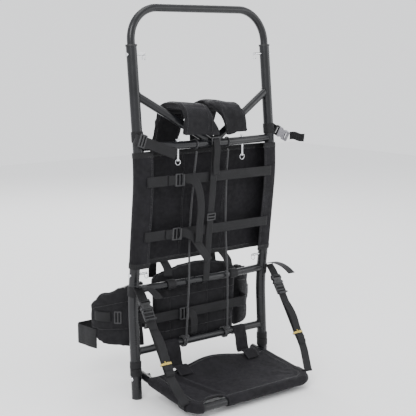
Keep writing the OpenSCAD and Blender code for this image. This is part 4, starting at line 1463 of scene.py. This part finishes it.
def makeBeltStraps():
    z = belt["bandZ"]
    pieces, glides = [], []
    outside = belt["wingRadius"] + 0.6 + webbing["thick"] / 2
    for side, turn in sides.items():
        arc = [onWing(turn, outside, a, z) for a in range(-70, -27, 3)]
        pieces.append(strip("wingBand" + side, arc, (0, 0, 1), webbing["width"], webbing["thick"],
                            finish["webbing"], 4))
        link = [(turn * 146, belt["bandY"] + 0.8, z), (turn * 160, 22, z), (turn * 167.2, 49.5, z)]
        pieces.append(strip("bandLink" + side, link, (0, 0, 1), webbing["width"], webbing["thick"],
                            finish["webbing"], 4))
        spare = [onWing(turn, outside + 3 + 2.6 * math.sin(k / 2.2), -40 + 3 * k, z + 1) for k in range(8)]
        pieces.append(strip("bandSpare" + side, spare, (0, 0, 1), webbing["width"] - 1, webbing["thick"],
                            finish["webbing"], 4))
        a = -48
        x, y, _ = onWing(turn, outside + 2.4, a, z)
        glides.append(triGlide("bandGlide" + side, webbing["width"],
                               Matrix.Translation((x, y, z)) @ spot(0, 0, 0, 0, 0,
                                                                    (90 + a) * turn) @ facing(),
                                                                    finish["buckle"]))
    cross = [(-146, belt["bandY"] + 0.8, z), (-70, belt["bandY"] + 0.8, z), (0, belt["bandY"] + 0.8, z),
             (70, belt["bandY"] + 0.8, z), (146, belt["bandY"] + 0.8, z)]
    pieces.append(strip("lumbarBand", cross, (0, 0, 1), webbing["width"], webbing["thick"],
                        finish["webbing"], 5, 0.3, 2))
    settle(joined("hipBands", [*pieces]), "frame", "webbing", "hip_bands")
    settle(joined("hipGlides", glides), "frame", "buckle")
    settle(ladderLock("lumbarLock", webbing["width"], Matrix.Translation((-66, 8.2, z)) @ facing(),
                      finish["buckle"]),
           "lumbar_lock", "buckle", "lumbar_lock")
    tail = [(-46, 4, z), (-38, 0, z - 2), (-31, -2, z - 14), (-29, -2, z - 34), (-30, 0, z - 56)]
    settle(strip("lumbarTail", tail, (0.75, 0, 0.66), 22, webbing["thick"], finish["webbing"], 4, 0.7, 3),
           "frame", "webbing")

    radius, loop = belt["wingRadius"] + 1.3, belt["loop"]
    for side, turn in sides.items():
        route = [onWing(turn, radius, a, belt["waistZ"]) for a in (-20, -15, -10, -5, 0, 2)]
        route += [(turn * (250 - loop + loop * math.cos(math.radians(a))),
                   belt["waistY"] - loop + loop * math.sin(math.radians(a)),
                   belt["waistZ"]) for a in (0, 22, 45, 68, 90)]
        route += [(turn * 160, belt["waistY"] - 1.2, belt["waistZ"]),
                  (turn * 90, belt["waistY"] - 0.5, belt["waistZ"]),
                  (turn * 40, belt["waistY"] - 2.5, belt["waistZ"])]
        web = strip("waistWeb" + side.title(), route, (0, 0, 1), webbing["waistWidth"],
                    webbing["thick"] + 0.2,
                    finish["webbing"], 5, 0.5, 6)
        if side == "left":
            settle(web, "frame", "webbing", "waist_web_left")
            continue
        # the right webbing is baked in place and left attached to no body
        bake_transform(web)
        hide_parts("waist_web_right")
    mouth = Matrix.Translation((4, belt["waistY"] - 5.4, belt["waistZ"])) @ facing() @ spot(0, 0, 0)
    settle(releaseSocket("waistSocket", (58, 46, 8.5), mouth, finish["buckle"]), "frame", "buckle",
           "waist_socket")
    settle(releasePlug("waistPlug", (58, 46, 8.5), mouth, finish["buckle"]), "waist_plug", "buckle",
           "waist_plug")


makeBeltStraps()
print("hip belt straps done")


# Shelf: a cloth cover round the tube, drawn over it and sagging between, with a notch at the front
shelf = {"hingeZ": 50, "reach": 206, "frontZ": 24, "halfX": 180.5, "corner": 28, "sleeve": 11.7,
         "thick": 1.3,
         "sag": 6.0, "notchX": -122, "notchHalf": 33, "notchDeep": 17, "rings": 26, "back": -32, "arch": 16,
         "archSpan": (-85, -30),
         "tabs": (-98, 118), "tabWidth": 40}
shelfTilt = math.degrees(math.asin((shelf["hingeZ"] - shelf["frontZ"]) / shelf["reach"]))


def shelfPlace():
    return Matrix.Translation((0, uprightDepth(shelf["hingeZ"]),
                               shelf["hingeZ"])) @ Euler((math.radians(shelfTilt), 0,
                                                          0)).to_matrix().to_4x4()


def shelfEdge():
    # Points along the tube's centreline and the rear edge, each with its outward direction and kind
    half, reach, corner = shelf["halfX"], shelf["reach"], shelf["corner"]
    edge = []
    for k in range(26):
        edge.append((-half, shelf["back"] - (reach - corner + shelf["back"]) * k / 26, -1, 0, "tube"))
    for k in range(10):
        a = math.radians(180 + 9 * k)
        edge.append((-half + corner + corner * math.cos(a), -reach + corner + corner * math.sin(a),
                     math.cos(a), math.sin(a), "tube"))
    span = half - corner
    for k in range(81):
        x = -span + 2 * span * k / 80
        off = abs(x - shelf["notchX"]) / shelf["notchHalf"]
        if off < 1:
            edge.append((x, -reach + shelf["notchDeep"] * (1 - off ** 4) ** 0.5, 0, -1, "notch"))
        else:
            edge.append((x, -reach, 0, -1, "tube"))
    for k in range(1, 11):
        a = math.radians(270 + 9 * k)
        edge.append((half - corner + corner * math.cos(a), -reach + corner + corner * math.sin(a),
                     math.cos(a), math.sin(a), "tube"))
    for k in range(1, 27):
        edge.append((half, -(reach - corner) + (reach - corner + shelf["back"]) * k / 26, 1, 0, "tube"))
    rear = smoothRoute([(half, shelf["back"] - 4, 0), (95, -36, 0), (0, -24, 0), (-95, -36, 0),
                        (-half, shelf["back"] - 4, 0)], 6)
    for x, y, _ in rear[2:-2]:
        edge.append((x, y, 0, 1, "rear"))
    return edge


def shelfSag(x, y, inward):
    # Height of the cloth over the shelf's own plane, inward from its edge (0) to its middle (1)
    settleDown = 1 - (1 - inward) ** 2.4
    height = shelf["sleeve"] - 0.3 - shelf["sag"] * settleDown
    waves = 0.9 * math.sin(x / 19 + 1.7 * math.sin(y / 33)) * math.sin(y / 27 + 0.6) * settleDown
    # a fold runs from the left rear corner to the notch
    start, end = Vector((-128, -40)), Vector((-84, -178))
    p = Vector((x, y))
    share = max(0.0, min(1.0, (p - start).dot(end - start) / (end - start).length_squared))
    off = (p - (start + (end - start) * share)).length
    fold = 3.4 * math.exp(-(off / 7) ** 2) - 1.8 * math.exp(-((off - 14) / 8) ** 2)
    pulls = 0.0
    for cornerX in (-165, 165):
        a = math.atan2(y + 190, x - cornerX)
        reach = (Vector((cornerX, -190)) - p).length
        pulls += 1.1 * math.sin(11 * a) * math.exp(-reach / 60) * min(1, inward * 5)
    # the tabs hold the rear edge up between the hinges
    arch = shelf["arch"] * math.cos(math.pi * x / (2 * shelf["halfX"])) ** 2 * rise(y, *shelf["archSpan"])
    return height + waves + arch + (fold + pulls) * min(1, inward * 4)


def makeShelfCover():
    place = shelfPlace()
    edge = shelfEdge()
    centre = Vector((0, -118))
    wraps = [math.radians(a) for a in range(-150, 90, 20)]
    radius = shelf["sleeve"]
    points, faces, rows = [], [], []
    for x, y, outX, outY, kind in edge:
        column = []
        for a in wraps:
            if kind == "tube":
                wrinkle = 0.35 * math.sin(x / 7 + y / 9) * math.sin(2 * a)
                r = radius + wrinkle
                column.append((x + outX * r * math.cos(a), y + outY * r * math.cos(a), r * math.sin(a)))
            else:
                r = 1.6
                column.append((x + outX * r * math.cos(a), y + outY * r * math.cos(a),
                               shelfSag(x, y, 0.02) - r + r * math.sin(a)))
        for k in range(shelf["rings"]):
            inward = (k / shelf["rings"]) ** 1.15
            px, py = x + (centre.x - x) * inward, y + (centre.y - y) * inward
            nearest = inward if kind != "rear" else max(inward, 0.05)
            column.append((px, py, shelfSag(px, py, nearest)))
        points += column
    tall = len(wraps) + shelf["rings"]
    count = len(edge)
    for c in range(count):
        following = (c + 1) % count
        kinds = {edge[c][4], edge[following][4]}
        for r in range(tall - 1):
            if len(kinds) > 1 and r < len(wraps) - 1:
                continue
            faces.append((c * tall + r, c * tall + r + 1, following * tall + r + 1, following * tall + r))
    points.append((centre.x, centre.y, shelfSag(centre.x, centre.y, 1)))
    for c in range(count):
        faces.append((c * tall + tall - 1, len(points) - 1, ((c + 1) % count) * tall + tall - 1))
    cover = addPiece("shelfCover", [place @ Vector(p) for p in points], faces, finish["packCloth"])
    work = bmesh.new()
    work.from_mesh(cover.data)
    bmesh.ops.recalc_face_normals(work, faces=work.faces)
    work.to_mesh(cover.data)
    work.free()
    thicken = cover.modifiers.new("thicken", "SOLIDIFY")
    thicken.thickness = shelf["thick"] * mm
    thicken.offset = 0
    softened(cover)
    settle(cover, "shelf", "panel_cloth", "shelf_cover")

    # stitching beside the tube, round the notch and along the rear hem
    for inset in (0.07, 0.085):
        row = []
        for x, y, _, _, kind in edge:
            px, py = x + (centre.x - x) * inset, y + (centre.y - y) * inset
            row.append(tuple(place @ Vector((px, py, shelfSag(px, py, inset) + 1.0))))
        rows.append(row)
    seams = settle(grow("shelfStitches", "stitches", rows, finish["thread"]), "shelf", "panel_cloth")
    lip = [tuple(place @ Vector((x, y, shelfSag(x, y, 0.02) - 0.6))) for x, y, _, _,
           kind in edge if kind == "notch"]
    binding = settle(rope("notchBinding", lip, 2.1, finish["binding"], 3, 8), "shelf", "panel_cloth")


makeShelfCover()
print("shelf cover done")


# Cloth tabs from the lower bar down to the shelf
def makeTabs():
    y, z = uprightDepth(lowerZ), lowerZ
    radius = barRadius + 1.05
    place = shelfPlace()
    sewn = [place @ Vector((0, depth, shelfSag(0, depth, 0.3) + 1.4)) for depth in (-34, -52, -66)]
    down = [(0, y - 11.5, z - 3), (0, -11.5, 98), (0, -14, 82), (0, -21, 64)]
    for label, x in zip(("Left", "Right"), shelf["tabs"]):
        wrap = [(x, y + radius * math.cos(math.radians(a)), z + radius * math.sin(math.radians(a)))
                for a in range(-110, 181, 20)]
        route = [*wrap, *[(x, p[1], p[2]) for p in down[1:]], *[(x, p.y, p.z) for p in sewn]]
        tab = strip("shelfTab" + label, route, (1, 0, 0), shelf["tabWidth"], 1.5, finish["packCloth"], 4,
                    0.7, 7)
        line = smoothRoute(route, 3)
        seams = []
        for inset in (-shelf["tabWidth"] / 2 + 2.5, shelf["tabWidth"] / 2 - 2.5):
            seams.append([(p[0] + inset, p[1] - 0.9, p[2] + 0.4) for p in line[len(line) // 2:]])
        sewing = grow("tabStitches" + label, "stitches", seams, finish["thread"])
        for piece in (tab, sewing):
            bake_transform(piece)
        if label == "Left":
            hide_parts("shelf_tabs")


makeTabs()


# Support straps from the uprights to the shelf's front corners, with a buckle, a folded bundle and a tie
support = {"x": 209, "top": (-36, 262), "end": (-188, 34), "buckleAt": 30, "bundle": (86, 200),
           "tieAt": 169,
           "wrapZ": 268, "loopAt": 172, "tail": [(-17, 286), (-60, 290), (-104, 274)]}


def onSupport(along, out=0.0):
    top, end = Vector(support["top"]), Vector(support["end"])
    way = (end - top).normalized()
    p = top + way * along + Vector((way.y, -way.x)) * out
    return p.x, p.y


def supportPlace(side, along):
    y, z = onSupport(along)
    way = (Vector(support["end"]) - Vector(support["top"])).normalized()
    angle = math.degrees(math.atan2(-way.x, -way.y))
    return Matrix.Translation((sides[side] * support["x"], y, z)) @ Euler((math.radians(-angle), 0,
                                                                           0)).to_matrix().to_4x4()


def makeSupports():
    down = Matrix(((0, 1, 0, 0), (0, 0, -1, 0), (-1, 0, 0, 0), (0, 0, 0, 1)))
    for side, turn in sides.items():
        label = side.title()
        x = turn * support["x"]
        length = (Vector(support["end"]) - Vector(support["top"])).length
        main = [(x, -16, 282), (x, *support["top"]), *[(x, *onSupport(s)) for s in (40, 80, 120, 160, 205)],
                (x - turn * 6, *onSupport(235)), (x - turn * 12, *onSupport(length - 14)),
                (x - turn * 13.5, *onSupport(length - 2))]
        pieces = [strip("strap" + side, main, (1, 0, 0), webbing["width"], webbing["thick"],
                        finish["webbing"], 5, 0.3, 3)]
        place = Matrix.Translation((turn * upright["half"], uprightDepth(support["wrapZ"]),
                                    support["wrapZ"])) @ Euler(
            (math.radians(-leanAt(support["wrapZ"])), 0, 0)).to_matrix().to_4x4()
        radius = upright["radius"] + 0.4 + webbing["thick"] / 2
        wrap = [place @ Vector((turn * radius * math.cos(math.radians(a)),
                                radius * math.sin(math.radians(a)), 0))
                for a in range(-84, 85, 12)]
        across = place.to_3x3() @ Vector((0, 0, 1))
        pieces.append(strip("strapWrap" + side, wrap, across, webbing["width"], webbing["thick"],
                            finish["webbing"], 4))
        shelfFrame = shelfPlace()
        legX, legY = turn * shelf["halfX"], -support["loopAt"]
        loop = [tuple(shelfFrame @ Vector(p)) for p in ringRoute((legX, legY, 0), shelf["sleeve"] + 1.9,
                                                                 "y", 24)][:-1]
        forward = shelfFrame.to_3x3() @ Vector((0, 1, 0))
        pieces.append(sweep("strapFoot" + side, loop, lambda i, p: forward,
                            flatOutline(webbing["width"], webbing["thick"]),
                            finish["webbing"], closed=True))
        # the spare webbing is folded back and forth beside the strap
        first, last = support["bundle"]
        for k, (start, end,
                lift) in enumerate(((first, last, 2.2), (first + 9, last - 12, 4.2),
                                    (first + 3, last - 4, -2.2))):
            fold = [(x, *onSupport(start - 3, lift * 0.4)), (x, *onSupport(start + 10, lift + 2.6)),
                    (x, *onSupport(start + 34, lift + 3.4 + k)),
                    (x, *onSupport(support["tieAt"] - 14, lift + 0.4)),
                    (x, *onSupport(support["tieAt"], lift)),
                    (x, *onSupport(support["tieAt"] + 12, lift + 1.2)),
                    (x, *onSupport(end - 6, lift + 3)), (x, *onSupport(end, lift * 0.6))]
            pieces.append(strip(f"fold{side}{k}", fold, (1, 0, 0), webbing["width"] - 2, webbing["thick"],
                                finish["webbing"], 4, 0.5, k))
        tail = [(x, *support["tail"][0]), (x, -38, 290), (x, *support["tail"][1]), (x, -84, 284),
                (x, *support["tail"][2])]
        pieces.append(strip("strapTail" + side, tail, (1, 0, 0), 22, webbing["thick"], finish["webbing"], 4,
                            0.9, 4))
        strap = joined("shelfStrap" + label, pieces)

        tie = []
        low = supportPlace(side, support["tieAt"])
        for k, shift in enumerate((-1.3, 1.3)):
            loop = [low @ Vector((14.2 * math.copysign(abs(math.cos(a)) ** 0.4, math.cos(a)),
                                  5.6 * math.copysign(abs(math.sin(a)) ** 0.7, math.sin(a)), shift))
                    for a in [math.tau * j / 24 for j in range(24)]]
            tie.append(rope(f"tieLoop{side}{k}", [*loop, loop[0]], 1.15, finish["tie"], 2, 8))
        knot = [low @ Vector(p) for p in ((-3, -6, -2), (0, -8.4, 1), (3.4, -7, 2.4), (2, -6, -2),
                                          (-2, -8, -1), (-3, -6.4, 3), (-6, -8, 5))]
        tie.append(rope(f"tieKnot{side}", knot, 1.1, finish["tie"], 1.5, 8))
        band = joined("strapTie" + label, tie)
        start, end = at((x, *onSupport(60))), at((x, *onSupport(length)))
        for piece, slot in ((strap, "webbing"), (band, "tie")):
            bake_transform(piece)
        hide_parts("shelf_strap_" + side)
        if side == "left":
            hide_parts("strap_ties")

        mouth = supportPlace(side, support["buckleAt"]) @ down
        buckle = [releaseSocket("stayBuckle" + side, (31, 24, 8), mouth @ Matrix.Translation((0, 0, 0)),
                                finish["buckle"]),
                  releasePlug("stayPlug" + side, (29, 24, 7.6), mouth, finish["buckle"])]
        end = ladderLock("stayLadder" + side, 25, mouth @ Matrix.Translation((9, 0, -2)), finish["buckle"])
        whole = joined("shelfBuckle" + label, [*buckle, end])
        settle(whole, "frame", "buckle", *(["shelf_buckles"] if side == "left" else []))


makeSupports()


# Collars round the uprights above the hinge
def makeCollars():
    for side, turn in sides.items():
        pieces = []
        for z in (66, 84):
            place = Matrix.Translation((turn * upright["half"], uprightDepth(z),
                                        z)) @ Euler((math.radians(-leanAt(z)), 0, 0)).to_matrix().to_4x4()
            route = [tuple(place @ Vector(p)) for p in ringRoute((0, 0, 0), upright["radius"] + 0.9, "z",
                                                                 24)][:-1]
            pieces.append(sweep(f"collar{side}{z}", route, lambda i, p: (0, 0, 1), flatOutline(17.5, 1.5),
                                finish["webbing"], closed=True))
        settle(joined("hingeCollar" + side.title(), pieces), "frame", "webbing",
               *(["hinge_collars"] if side == "left" else []))


makeCollars()
print("shelf straps done")

for name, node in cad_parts.items():
    if not node.hide_render and not node.data.materials:
        node.data.materials.append(finish["plug"])
